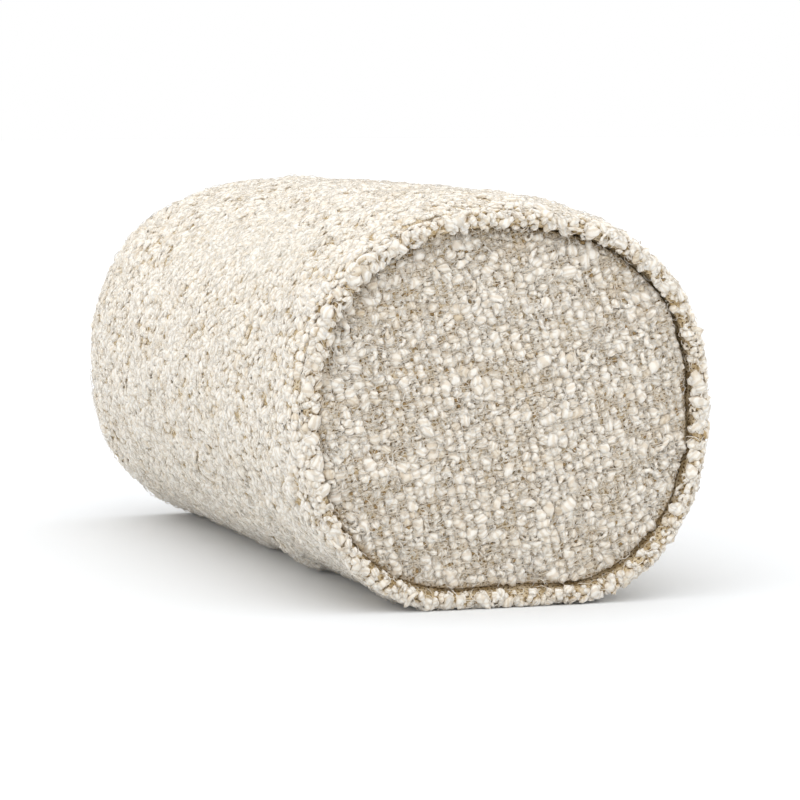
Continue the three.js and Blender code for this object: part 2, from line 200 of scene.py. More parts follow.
@dataclass(frozen=True)
class Settled:
    """The shape of the pillow as it lies: turned round as sewn, then settled on the floor.

    The section is a superellipse, pressed flat underneath. The softness rounds the turn from the flat to the
    flank, as a share of the radius. The tube draws in over its shoulders to each end seam.
    """

    radius: float
    seam_x: float
    width_share: float
    settled_depth: float = 5.3 * MM
    squareness: float = 2.32
    shoulder_length: float = 45 * MM
    shoulder_drop: float = 3.5 * MM
    softness: float = 0.03

    @classmethod
    def from_frame(cls) -> Settled:
        """Reads the sizes off the frame: the section from the tube's box, the seam's place from a welt's."""
        low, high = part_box("body_panel")
        radius = (high.z - low.z + cls.settled_depth) / 2
        _, welt_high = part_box("welt_casing_front")
        seam_x = welt_high.x - Welt.radius
        return cls(radius=radius, seam_x=seam_x, width_share=high.y / radius)

    @property
    def floor_share(self) -> float:
        """How far the floor is below the centre, as a share of the radius."""
        return 1 - self.settled_depth / self.radius

    def tube_radius(self, x: np.ndarray) -> np.ndarray:
        """Outer radius of the stuffed tube at x, before it settles."""
        inward = np.clip((self.seam_x - np.abs(x)) / self.shoulder_length, 0, 1)
        return self.radius - self.shoulder_drop * (1 - np.sqrt(1 - (1 - inward) ** 2))

    def swell(self, phi: np.ndarray) -> np.ndarray:
        """How much further the superellipse reaches than a circle at an angle."""
        power = self.squareness
        return (np.abs(np.cos(phi)) ** power + np.abs(np.sin(phi)) ** power) ** (-1 / power)

    def place(self, x: np.ndarray, radius: np.ndarray, phi: np.ndarray) -> np.ndarray:
        """Where a point of the turned pillow goes.

        Args:
            x: Along the pillow.
            radius: From its axis, as sewn.
            phi: Angle round it, from level towards the back, upwards.

        Returns:
            Points, with X, Y and Z last.
        """
        x, radius, phi = np.broadcast_arrays(x, radius, phi)
        swell = self.swell(phi)
        centre = self.floor_share * self.tube_radius(x)
        across = radius * self.width_share * swell * np.cos(phi)
        above = swell * np.sin(phi) + self.floor_share
        rest = 0.5 * (above + np.sqrt(above**2 + self.softness**2)) - self.floor_share
        height = centre + radius * rest
        return np.stack([x, across, height], -1)

    def sewn_radius(self, y: np.ndarray, z: np.ndarray) -> np.ndarray:
        """The sewn radius of a point of an end panel, from its place across and above the floor."""
        up = z - self.floor_share * (self.radius - self.shoulder_drop)
        power = self.squareness
        oval = (np.abs(y / self.width_share) ** power + np.abs(up) ** power) ** (1 / power)
        return np.maximum(oval, -up / self.floor_share)


# ---------- A surface held as a grid ----------


def refine(grid: np.ndarray, closed: bool) -> np.ndarray:
    """Doubles a grid's rows and columns along smooth curves through its points.

    Args:
        grid: Points by row and column.
        closed: Whether the last column meets the first.

    Returns:
        The finer grid.
    """
    for axis in (0, 1):
        pad = [(0, 0)] * 3
        pad[axis] = (1, 2)
        if axis == 1 and closed:
            padded = np.pad(grid, pad, mode="wrap")
        else:
            padded = np.pad(grid, pad, mode="reflect", reflect_type="odd")
        lines = np.moveaxis(padded, axis, 0)
        middle = (9 * (lines[1:-2] + lines[2:-1]) - lines[:-3] - lines[3:]) / 16
        both = np.stack([lines[1:-2], middle], 1).reshape((-1,) + middle.shape[1:])
        if not (axis == 1 and closed):
            both = both[:-1]
        grid = np.moveaxis(both, 0, axis)
    return grid


@dataclass
class Surface:
    """A cloth surface as a fine grid of points, which gives places and directions between them."""

    points: np.ndarray
    closed: bool
    normals: np.ndarray = field(init=False)
    along: np.ndarray = field(init=False)

    def __post_init__(self) -> None:
        """Works out the directions."""
        rows = np.gradient(self.points, axis=0)
        if self.closed:
            columns = (np.roll(self.points, -1, 1) - np.roll(self.points, 1, 1)) / 2
        else:
            columns = np.gradient(self.points, axis=1)
        self.along = unit(rows)
        self.normals = unit(np.cross(columns, rows))

    def _between(self, grid: np.ndarray, row: np.ndarray, column: np.ndarray) -> np.ndarray:
        """Values of a grid at places between its points."""
        last_row, width = grid.shape[0] - 1, grid.shape[1]
        row = np.clip(row, 0, last_row - 1e-6)
        column = column % width if self.closed else np.clip(column, 0, width - 1 - 1e-6)
        r, c = row.astype(int), column.astype(int)
        fr, fc = (row - r)[:, None], (column - c)[:, None]
        r2, c2 = r + 1, (c + 1) % width
        low = grid[r, c] * (1 - fc) + grid[r, c2] * fc
        high = grid[r2, c] * (1 - fc) + grid[r2, c2] * fc
        return low * (1 - fr) + high * fr

    def at(self, row: np.ndarray, column: np.ndarray) -> Places:
        """The point, outward normal and row direction at each place."""
        place = self._between(self.points, row, column)
        normal = unit(self._between(self.normals, row, column))
        along = self._between(self.along, row, column)
        return place, normal, square_to(normal, along)


@dataclass(frozen=True)
class Waves:
    """Smooth seeded unevenness: a sum of plane waves of about one length."""

    length: float
    seed: int
    count: int = 14

    def at(self, points: np.ndarray) -> np.ndarray:
        """How high the waves stand at each point, mostly between -2 and 2."""
        rng = np.random.default_rng(self.seed)
        way = unit(rng.normal(size=(self.count, 3))) * rng.uniform(0.7, 1.4, (self.count, 1))
        phase = rng.uniform(0, 2 * math.pi, self.count)
        waves = np.sin(points @ (way * 2 * math.pi / self.length).T + phase)
        return waves.sum(-1) * math.sqrt(2 / self.count)


def grid_faces(rows: int, columns: int, closed: bool) -> np.ndarray:
    """Four-cornered faces of a grid, facing out where rows run along X and columns upwards round the back.

    Args:
        rows: Number of rows of points.
        columns: Number of points in a row.
        closed: Whether the last column meets the first.

    Returns:
        One face a row.
    """
    r, c = np.meshgrid(np.arange(rows - 1), np.arange(columns if closed else columns - 1), indexing="ij")
    after = (c + 1) % columns
    corners = [r * columns + c, r * columns + after, (r + 1) * columns + after, (r + 1) * columns + c]
    return np.stack(corners, -1).reshape(-1, 4)


# ---------- Finishes ----------


def add_node(
    tree: Tree, kind: str, inputs: dict | None = None, stops: Stops = (), **settings: object
) -> bpy.types.Node:
    """Adds a node with its settings, values and links.

    Args:
        tree: The material's node tree.
        kind: The node's type, without its common beginning.
        inputs: Values, or outputs to link from, by input name or number.
        stops: The colours of a colour ramp, each with its place between 0 and 1.
        settings: The node's own properties.

    Returns:
        The new node.
    """
    node = tree.nodes.new("ShaderNode" + kind)
    for name, value in settings.items():
        setattr(node, name, value)
    for key, value in (inputs or {}).items():
        if isinstance(value, Socket):
            tree.links.new(value, node.inputs[key])
        else:
            node.inputs[key].default_value = value
    if stops:
        bar = node.color_ramp.elements
        while len(bar) < len(stops):
            bar.new(0.5)
        for element, (place, colour) in zip(bar, stops):
            element.position = place
            element.color = linear(colour)
    return node


def start_material(name: str) -> tuple[Material, Tree]:
    """An empty material and its tree, which has a principled shader."""
    material = bpy.data.materials.new(name)
    material.use_nodes = True
    return material, material.node_tree


def set_surface(
    material: Material,
    colour: Socket,
    height: Socket | None = None,
    relief: float = 0.0,
    strength: float = 1.0,
    values: dict[str, float | tuple] | None = None,
) -> None:
    """Gives a material's shader its colour, its fine relief and the values that are the same all over.

    Args:
        material: The material.
        colour: Its colour.
        height: How high its surface stands, if it has a relief.
        relief: How deep the relief is, in metres.
        strength: How much of the relief to take.
        values: Values by the name of the shader's socket.
    """
    tree = material.node_tree
    shader = tree.nodes["Principled BSDF"]
    tree.links.new(colour, shader.inputs["Base Color"])
    if height is not None:
        lift = add_node(tree, "Bump", {"Height": height, "Distance": relief, "Strength": strength})
        tree.links.new(lift.outputs["Normal"], shader.inputs["Normal"])
    for name, value in (values or {}).items():
        shader.inputs[name].default_value = value


def pushed_about(tree: Tree, place: Socket, size: float, reach: float, detail: float) -> Socket:
    """A place moved by a smooth wandering, so that what is drawn there isn't straight.

    Args:
        tree: The material's node tree.
        place: The place.
        size: How far apart its turns are, in metres.
        reach: How far it moves, in metres.
        detail: How many finer wanderings there are.

    Returns:
        The moved place.
    """
    bend = add_node(tree, "TexNoise", {"Vector": place, "Scale": 1 / size, "Detail": detail})
    shift = add_node(tree, "VectorMath", {0: bend.outputs["Color"], 1: (reach,) * 3}, operation="MULTIPLY")
    return add_node(tree, "VectorMath", {0: place, 1: shift.outputs[0]}, operation="ADD").outputs[0]


def thread_rises(tree: Tree, place: Socket, pitches: tuple[float, float]) -> list[Socket]:
    """How high the threads of a weave stand at a place, across the cloth and along it.

    Args:
        tree: The material's node tree.
        place: The place on the cloth.
        pitches: The thread spacing each way, in metres.

    Returns:
        Two heights between 0 and 1.
    """
    split = add_node(tree, "SeparateXYZ", {"Vector": place})
    rises = []
    for axis, pitch in zip("XY", pitches):
        turn = add_node(tree, "Math", {0: split.outputs[axis], 1: math.pi / pitch}, operation="MULTIPLY")
        wave = add_node(tree, "Math", {0: turn.outputs[0]}, operation="SINE")
        rises.append(add_node(tree, "Math", {0: wave.outputs[0]}, operation="ABSOLUTE").outputs[0])
    return rises


@dataclass(frozen=True)
class LoopedYarn:
    """Wool and cotton boucle yarn, undyed: curls of loose fibre that scatter light. Painted shade darkens
    each lump from its pale tip to where it goes into the ground, and lies in the grooves between its turns of
    fibre. A few lumps are of tan fibre."""

    name: str = "boucle_wool_yarn"
    # Painted shade: the colour at each lump's foot, where it goes into the ground
    deep: str = "#c6b08a"
    middle: str = "#e9e0d2"
    tip: str = "#eee9e0"
    # Painted shade in the grooves between turns of fibre
    groove_shade: str = "#dccfbc"
    tan: str = "#b49e78"
    fibre: float = 0.75 * MM
    relief: float = 0.15 * MM
    glow: float = 1.6 * MM

    def material(self) -> Material:
        """The yarn's material: painted shade from how high each point stands on its lump, each lump's own
        shade of colour, and the turns of fibre round it, with painted shade in the grooves between them.
        """
        material, tree = start_material(self.name)
        place = add_node(tree, "TexCoord").outputs["Object"]
        tone = add_node(tree, "Attribute", attribute_name="tone").outputs["Fac"]
        shade = add_node(tree, "Attribute", attribute_name="shade").outputs["Fac"]
        # Painted shade: the colour darkens down each lump, by how high each point stands, to the deep colour
        # at its foot
        painted_shade_stops = [(0.0, self.deep), (0.4, self.middle), (0.8, self.tip)]
        shades = [(0.0, self.tan), (0.12, "#e4dac9"), (0.4, "#f6f2ec"), (0.7, "#ffffff")]
        colour = add_node(tree, "ValToRGB", {"Fac": tone}, painted_shade_stops).outputs["Color"]
        paler = add_node(tree, "ValToRGB", {"Fac": shade}, shades).outputs["Color"]
        colour = add_node(tree, "Mix", {0: 1.0, 6: colour, 7: paler}, **MULTIPLY).outputs[2]
        around = add_node(tree, "UVMap", uv_map="curl").outputs["UV"]
        turns = add_node(tree, "TexWave", {"Vector": around, "Scale": 0.7, "Distortion": 9.0, "Detail": 2.0})
        fuzz = add_node(tree, "TexNoise", {"Vector": place, "Scale": 1 / self.fibre, "Detail": 2.0})
        both = {0: turns.outputs["Fac"], 1: fuzz.outputs["Fac"]}
        wound = add_node(tree, "Math", both, operation="MULTIPLY").outputs[0]
        # Painted shade: the colour darkens in the grooves between the turns of fibre, where the same pattern
        # sinks the bump
        lines = add_node(tree, "ValToRGB", {"Fac": wound}, [(0.08, self.groove_shade), (0.34, "#ffffff")])
        lined = add_node(tree, "Mix", {0: 1.0, 6: colour, 7: lines.outputs["Color"]}, **MULTIPLY).outputs[2]
        colour = add_node(tree, "Mix", {0: 0.5, 6: colour, 7: lined}, data_type="RGBA").outputs[2]
        set_surface(material, colour, wound, self.relief, 1.0, {
            "Roughness": 0.95,
            "Subsurface Weight": 0.35,
            "Subsurface Radius": (1.0, 0.95, 0.88),
            "Subsurface Scale": self.glow,
            "Sheen Weight": 0.15,
            "Sheen Roughness": 0.5,
            "Specular IOR Level": 0.1,
        })
        return material


@dataclass(frozen=True)
class GroundWeave:
    """Cotton and linen ground of the boucle, woven: fine pale threads and tan ones, with painted shade in the
    small gaps between them and where the plies sink.

    Its threads are drawn coarser than real ones, which would be too fine to show.
    """

    thread: str = "#efe6d8"
    tan: str = "#dccdb2"
    # Painted shade in the gaps between threads
    gap: str = "#8f7952"
    pitch: float = 2.1 * MM
    ply: float = 0.8 * MM

    def material(self) -> Material:
        """The ground's material, woven on the piece's own cloth coordinates."""
        material, tree = start_material("woven_cotton_ground")
        place = add_node(tree, "UVMap", uv_map="cloth").outputs["UV"]
        moved = pushed_about(tree, place, 4 * MM, 5 * MM, 3.0)
        rises = thread_rises(tree, moved, (self.pitch, self.pitch))
        weave = add_node(tree, "Math", {0: rises[0], 1: rises[1]}, operation="MAXIMUM").outputs[0]
        strands = {"Vector": moved, "Scale": 1 / self.ply, "Detail": 2.0}
        plies = add_node(tree, "TexNoise", strands).outputs["Fac"]
        patches = add_node(tree, "TexNoise", {"Vector": place, "Scale": 1 / (5 * MM), "Detail": 1.0})
        tans = [(0.38, self.tan), (0.58, self.thread)]
        thread = add_node(tree, "ValToRGB", {"Fac": patches.outputs["Fac"]}, tans).outputs["Color"]
        # Painted shade: the gap colour where the threads dip between each other, lowest in the bump
        solid = add_node(tree, "ValToRGB", {"Fac": weave}, [(0.3, "#000000"), (0.75, "#ffffff")])
        shown = {0: solid.outputs["Color"], 6: linear(self.gap), 7: thread}
        colour = add_node(tree, "Mix", shown, data_type="RGBA").outputs[2]
        # Painted shade: darker where the plies sink, as the same noise lowers the bump
        lines = add_node(tree, "ValToRGB", {"Fac": plies}, [(0.36, "#d6c9b2"), (0.56, "#ffffff")])
        lined = {0: 1.0, 6: colour, 7: lines.outputs["Color"]}
        colour = add_node(tree, "Mix", lined, **MULTIPLY).outputs[2]
        height = add_node(tree, "Math", {0: weave, 1: plies}, operation="ADD").outputs[0]
        values = {"Roughness": 0.95, "Specular IOR Level": 0.1}
        set_surface(material, colour, height, 0.5 * MM, 1.0, values)
        return material


@dataclass(frozen=True)
class SpunThread:
    """Polyester or cotton thread and cord, twisted: fine slanting plies, with a soft shine on each and
    painted shade in the grooves between them.
    """

    name: str
    pale: str = "#efe7d8"
    dark: str = "#cdbfa8"
    ply: float = 0.35 * MM
    roughness: float = 0.7

    def material(self) -> Material:
        """The thread's material."""
        material, tree = start_material(self.name)
        place = add_node(tree, "TexCoord").outputs["Object"]
        bands = {"Vector": place, "Scale": 0.31 / self.ply, "Distortion": 2.0, "Detail": 1.0}
        twist = add_node(tree, "TexWave", bands, bands_direction="DIAGONAL").outputs["Fac"]
        fuzz = add_node(tree, "TexNoise", {"Vector": place, "Scale": 1 / (0.4 * MM), "Detail": 2.0})
        both = {0: twist, 1: fuzz.outputs["Fac"]}
        both = add_node(tree, "Math", both, operation="MULTIPLY").outputs[0]
        # Painted shade: the dark colour where the plies sink, as the same pattern sets the bump
        colour = add_node(tree, "ValToRGB", {"Fac": both}, [(0.1, self.dark), (0.45, self.pale)])
        values = {"Roughness": self.roughness, "Sheen Weight": 0.1}
        set_surface(material, colour.outputs["Color"], both, 0.15 * MM, 0.8, values)
        return material


@dataclass(frozen=True)
class WovenCloth:
    """A flat woven cloth, such as cambric, zip tape or satin: threads over and under, closer or more open,
    with painted shade between the threads.
    """

    name: str
    pale: str
    dark: str
    pitch: float
    roughness: float
    sheen: float = 0.1
    satin: bool = False

    def material(self) -> Material:
        """The cloth's material, on the piece's own cloth coordinates."""
        material, tree = start_material(self.name)
        place = add_node(tree, "UVMap", uv_map="cloth").outputs["UV"]
        floats = 3.0 if self.satin else 1.0
        rises = thread_rises(tree, place, (self.pitch, self.pitch * floats))
        weave = add_node(tree, "Math", {0: rises[0], 1: rises[1]}, operation="MULTIPLY").outputs[0]
        slubs = add_node(tree, "TexNoise", {"Vector": place, "Scale": 1 / (2.5 * MM), "Detail": 3.0})
        # Painted shade: the dark colour where the threads dip, as the weave also sinks the bump there
        threads = add_node(tree, "ValToRGB", {"Fac": weave}, [(0.05, self.dark), (0.5, self.pale)])
        thicker = [(0.35, "#ece8e0"), (0.6, "#ffffff")]
        uneven = add_node(tree, "ValToRGB", {"Fac": slubs.outputs["Fac"]}, thicker)
        both = {0: 1.0, 6: threads.outputs["Color"], 7: uneven.outputs["Color"]}
        colour = add_node(tree, "Mix", both, **MULTIPLY).outputs[2]
        values = {"Roughness": self.roughness, "Sheen Weight": self.sheen}
        set_surface(material, colour, weave, 0.12 * MM, 0.7, values)
        return material


@dataclass(frozen=True)
class DrawnNylon:
    """Nylon 66 monofilament, wound into a coil and dyed: slightly uneven in colour, with a soft shine."""

    colour: str = "#e0d6c3"
    shadow: str = "#c9bca5"

    def material(self) -> Material:
        """The coil's material."""
        material, tree = start_material("coiled_nylon_monofilament")
        place = add_node(tree, "TexCoord").outputs["Object"]
        drift = add_node(tree, "TexNoise", {"Vector": place, "Scale": 1 / (3 * MM), "Detail": 2.0})
        dyed = [(0.35, self.shadow), (0.6, self.colour)]
        colour = add_node(tree, "ValToRGB", {"Fac": drift.outputs["Fac"]}, dyed)
        set_surface(material, colour.outputs["Color"], values={"Roughness": 0.38, "IOR": 1.53})
        return material


@dataclass(frozen=True)
class PlatedZinc:
    """Die-cast zinc, tumbled and nickel plated: warm grey, rubbed brighter and duller in small clouds, with
    fine scratches from handling."""

    bright: str = "#cfc9bd"
    dull: str = "#a79f92"

    def material(self) -> Material:
        """The metal's material."""
        material, tree = start_material("nickel_plated_zinc")
        place = add_node(tree, "TexCoord").outputs["Object"]
        clouds = add_node(tree, "TexNoise", {"Vector": place, "Scale": 1 / (3 * MM), "Detail": 4.0})
        clouds = clouds.outputs["Fac"]
        fine = add_node(tree, "TexNoise", {"Vector": place, "Scale": 1 / (0.3 * MM), "Detail": 2.0})
        colour = add_node(tree, "ValToRGB", {"Fac": clouds}, [(0.35, self.dull), (0.62, self.bright)])
        rough = add_node(tree, "MapRange", {0: clouds, 1: 0.3, 2: 0.7, 3: 0.34, 4: 0.22})
        tree.links.new(rough.outputs[0], tree.nodes["Principled BSDF"].inputs["Roughness"])
        set_surface(material, colour.outputs["Color"], fine.outputs["Fac"], 0.02 * MM, 0.5, {"Metallic": 1.0})
        return material


@dataclass(frozen=True)
class LooseFill:
    """Something soft and airy, such as carded polyester fibre or cut foam, by the size of its grain."""

    name: str
    pale: str
    dark: str
    grain: float
    open_cells: bool = False

    def material(self) -> Material:
        """The filling's material: cells for foam, and a tangle of strands for fibre, with painted shade where
        the surface sinks.
        """
        material, tree = start_material(self.name)
        place = add_node(tree, "TexCoord").outputs["Object"]
        if self.open_cells:
            cells = add_node(tree, "TexVoronoi", {"Vector": place, "Scale": 1 / self.grain})
            height = cells.outputs["Distance"]
        else:
            moved = pushed_about(tree, place, 8 * MM, 20 * MM, 2.0)
            strands = {"Vector": moved, "Scale": 1 / self.grain, "Detail": 4.0}
            height = add_node(tree, "TexNoise", strands).outputs["Fac"]
        # Painted shade: darker where the cells and strands sink, as the same height sets the bump
        colour = add_node(tree, "ValToRGB", {"Fac": height}, [(0.3, self.dark), (0.62, self.pale)])
        set_surface(material, colour.outputs["Color"], height, 0.5 * MM, 0.8, {"Roughness": 0.95})
        return material


# ---------- The filled cover ----------


class End(Enum):
    """The pillow's two ends, by the way that each faces along X."""

    FRONT = 1
    REAR = -1

    @property
    def label(self) -> str:
        """The end's part of a piece's name."""
        return self.name.lower()


@dataclass
class FilledCover:
    """The cover's outer surface as the filling leaves it, from the middle of the rear end to the front's.

    Cloth simulation blows it up against its sewn seams. What it adds to the settled shape is kept within a
    cap, so that the cover stays in the space that the frame gives it.
    """

    shape: Settled
    columns: int = 120
    tube_rows: int = 96
    panel_rows: int = 18
    tube_end: float = 195.5 * MM
    panel_radius: float = 85.0 * MM
    panel_x: float = 198.5 * MM
    crown: float = 7 * MM
    unevenness: float = 0.7 * MM
    sag: float = 1.0 * MM
    cap: float = 2.5 * MM
    slack: float = 1.5 * MM
    pressure: float = 4
    frames: int = 20
    stiffness: float = 15
    shear: float = 5
    bending: float = 0.5
    cloth_mass: float = 0.3
    lowest: float = 0.2 * MM
    tube: Surface = field(init=False)
    panels: dict[End, Surface] = field(init=False)

    def __post_init__(self) -> None:
        """Fills the cover."""
        stations = self._stations()
        angles = ZIP_ANGLE + full_turn(self.columns)
        still = self.shape.place(stations[:, :1], stations[:, 1:], angles[None, :])
        middles = [self.shape.place(sign * (self.panel_x + self.crown), 0, 0) for sign in (-1, 1)]
        directions = Surface(still, closed=True).normals
        lumps = Waves(60 * MM, SEED).at(still) * 0.6 + Waves(26 * MM, SEED + 1).at(still) * 0.4
        relief = lumps * self.unevenness
        relief = self._simulate(still, directions, relief, middles)
        relief = relief - self.sag * np.maximum(np.sin(angles), 0)[None, :]
        grid = still + directions * relief[..., None]
        grid[..., 2] = np.maximum(grid[..., 2], self.lowest)
        n = self.panel_rows
        self.tube = self._surface(grid[n:-n])
        self.panels = {End.REAR: self._surface(grid[:n]), End.FRONT: self._surface(grid[-n:])}

    def _surface(self, grid: np.ndarray) -> Surface:
        """A fine surface through a coarse grid."""
        return Surface(refine(refine(grid, closed=True), closed=True), closed=True)

    def _stations(self) -> np.ndarray:
        """The cover's profile as rows of x and sewn radius."""
        radii = np.linspace(0.02, 1, self.panel_rows) * self.panel_radius
        face = self.panel_x + self.crown * (1 - (radii / self.panel_radius) ** 2)
        tube = np.linspace(-self.tube_end, self.tube_end, self.tube_rows)
        rear = np.stack([-face, radii], -1)
        middle = np.stack([tube, self.shape.tube_radius(tube)], -1)
        front = np.stack([face, radii], -1)[::-1]
        return np.concatenate([rear, middle, front])

    def _simulate(
        self, still: np.ndarray, directions: np.ndarray, relief: np.ndarray, middles: list[np.ndarray]
    ) -> np.ndarray:
        """Blows the cover up from a slightly smaller, uneven shape.

        Args:
            still: The settled surface's points by row and column.
            directions: Its outward directions.
            relief: Its unevenness before the filling goes in.
            middles: The middle of the rear end, then of the front end.

        Returns:
            How far each point stands off the settled surface.
        """
        rows, columns = still.shape[:2]
        start = still + directions * (relief[..., None] * 2 - self.slack)
        vertices = np.concatenate([start.reshape(-1, 3), np.array(middles)])
        ring = np.arange(columns)
        after = (ring + 1) % columns
        last = (rows - 1) * columns
        rear = np.stack([np.full(columns, rows * columns), after, ring], -1)
        front = np.stack([np.full(columns, rows * columns + 1), last + ring, last + after], -1)
        piece = make_mesh("cover_filling", vertices, [grid_faces(rows, columns, True), rear, front])
        seam_rows = [self.panel_rows - 1, self.panel_rows, rows - self.panel_rows - 1, rows - self.panel_rows]
        pinned = [row * columns + column for row in seam_rows for column in range(columns)]
        piece.vertex_groups.new(name="seams").add(pinned, 1.0, "REPLACE")
        cloth = piece.modifiers.new("filling", "CLOTH")
        settings = {
            "quality": 5,
            "mass": self.cloth_mass,
            "tension_stiffness": self.stiffness,
            "compression_stiffness": self.stiffness,
            "shear_stiffness": self.shear,
            "bending_stiffness": self.bending,
            "use_pressure": True,
            "uniform_pressure_force": self.pressure,
            "vertex_group_mass": "seams",
        }
        for name, value in settings.items():
            setattr(cloth.settings, name, value)
        cloth.settings.effector_weights.gravity = 0
        scene = bpy.context.scene
        for frame in range(1, self.frames + 1):
            scene.frame_set(frame)
        filled = piece.evaluated_get(bpy.context.evaluated_depsgraph_get()).to_mesh()
        places = np.empty(len(vertices) * 3, np.float32)
        filled.vertices.foreach_get("co", places)
        bpy.data.objects.remove(piece)
        scene.frame_set(1)
        moved = places.reshape(-1, 3)[: rows * columns].reshape(still.shape)
        offset = ((moved - still) * directions).sum(-1)
        log.info("filling moved the cover by %.1f to %.1f mm", offset.min() / MM, offset.max() / MM)
        row_mean = offset.mean(axis=1, keepdims=True)
        return np.clip(offset - row_mean, -self.cap, self.cap)

    def on_tube(self, x: np.ndarray, phi: np.ndarray) -> Places:
        """Points, outward directions and directions along X of the tube's surface."""
        rows = self.tube.points.shape[0] - 1
        row = (x + self.tube_end) / (2 * self.tube_end) * rows
        column = (phi - ZIP_ANGLE) / (2 * math.pi) * self.tube.points.shape[1]
        return self.tube.at(row, column)

    def on_panel(self, end: End, radius: np.ndarray, phi: np.ndarray) -> Places:
        """Points, outward directions and radial directions of an end panel's surface."""
        surface = self.panels[end]
        share = (radius / self.panel_radius - 0.02) / 0.98
        if end is End.FRONT:
            share = 1 - share
        row = share * (surface.points.shape[0] - 1)
        column = (phi - ZIP_ANGLE) / (2 * math.pi) * surface.points.shape[1]
        return surface.at(row, column)


# ---------- Lumps of curled yarn ----------


@dataclass(frozen=True)
class Template:
    """One small shape that is set on the cloth many times, in its own units.

    Points run along the cloth, across it and up. Where faces share a place on the flat layout, the ones that
    should show come last.
    """

    points: np.ndarray
    faces: list[np.ndarray]
    layout: np.ndarray
    tone: np.ndarray


def dome_template(levels: tuple[float, ...], sides: int, bend: float = 0.0) -> Template:
    """A rounded lump, closed underneath.

    Args:
        levels: Degrees up the lump of each ring of points, from its foot.
        sides: Number of points in a ring.
        bend: How far its two ends lean over to one side.

    Returns:
        The lump.
    """
    rings = []
    layout = []
    for i, level in enumerate(levels):
        angle = (np.arange(sides) + 0.5 * (i % 2)) * 2 * math.pi / sides
        reach, height = math.cos(math.radians(level)), math.sin(math.radians(level))
        rings.append(np.stack([reach * np.cos(angle), reach * np.sin(angle), np.full(sides, height)], -1))
        spread = 1 - i / len(levels)
        layout.append(np.stack([spread * np.cos(angle), spread * np.sin(angle)], -1))
    points = np.concatenate([*rings, [[0, 0, 1]]])
    points[:, 1] += bend * (points[:, 0] ** 2 - 0.3)
    flat = np.concatenate([*layout, [[0, 0]]])
    count = len(levels)
    ring = np.arange(sides)
    after = (ring + 1) % sides
    foot = ring[::-1][None, :]
    walls = [
        np.stack([i * sides + ring, i * sides + after, (i + 1) * sides + after, (i + 1) * sides + ring], -1)
        for i in range(count - 1)
    ]
    top = (count - 1) * sides
    cap = np.stack([top + ring, top + after, np.full(sides, count * sides)], -1)
    # Painted shade: how high each point stands, which darkens the lump towards its foot
    tone = np.clip((points[:, 2] + 0.35) / 1.1, 0, 1)
    return Template(points, [foot, *walls, cap], flat, tone)


def curl_template(turn: float, rings: int, sides: int, thickness: float, rise: float) -> Template:
    """A curl of yarn or a loose fibre: part of a hoop that lies on the cloth.

    Args:
        turn: Degrees that it goes round.
        rings: Number of rings of points along it.
        sides: Points in a ring.
        thickness: Its own radius, where the hoop's outside is 1.
        rise: How far it arches off the cloth on its way.

    Returns:
        The curl.
    """
    along = np.radians(np.linspace(0, turn, rings))[:, None]
    share = along / math.radians(turn)
    around = full_turn(sides)[None, :]
    thin = np.array([0.7] + [1.0] * (rings - 2) + [0.7])[:, None] * thickness
    reach = 1 - thickness + thin * np.cos(around)
    lift = thin * np.sin(around) + rise * np.sin(share * math.pi) + thickness * 0.7
    points = np.stack([reach * np.cos(along), reach * np.sin(along), lift], -1).reshape(-1, 3)
    points -= points.mean(axis=0) * np.array([1, 1, 0])
    flat = np.stack(np.broadcast_arrays(share * 2 - 1, around / math.pi - 1 + 0.2), -1) * 0.95
    r, s = np.meshgrid(np.arange(rings - 1), np.arange(sides), indexing="ij")
    after = (s + 1) % sides
    walls = np.stack([r * sides + s, (r + 1) * sides + s, (r + 1) * sides + after, r * sides + after], -1)
    walls = walls[..., ::-1]
    joining = walls[:, -1].reshape(-1, 4)
    others = walls[:, :-1].reshape(-1, 4)
    ends = np.stack([np.arange(sides), (rings - 1) * sides + np.arange(sides)[::-1]])
    # Painted shade: how high each point stands, which darkens the curl where it lies low
    tone = np.clip((points[:, 2] + 0.2) / 1.0, 0, 1)
    return Template(points, [ends, joining, others], flat.reshape(-1, 2), tone)


LUMP = dome_template((-25, 15, 52), 8)
BEAN = dome_template((-25, 15, 52), 8, bend=0.45)
TUFT = dome_template((-20, 18, 58), 6, bend=0.2)
NEP = dome_template((-20, 35), 6)
CURL = curl_template(turn=265, rings=7, sides=5, thickness=0.38, rise=0.25)
FIBRES = [curl_template(turn, rings=5, sides=3, thickness=0.075, rise=0.35) for turn in (80, 130, 190)]


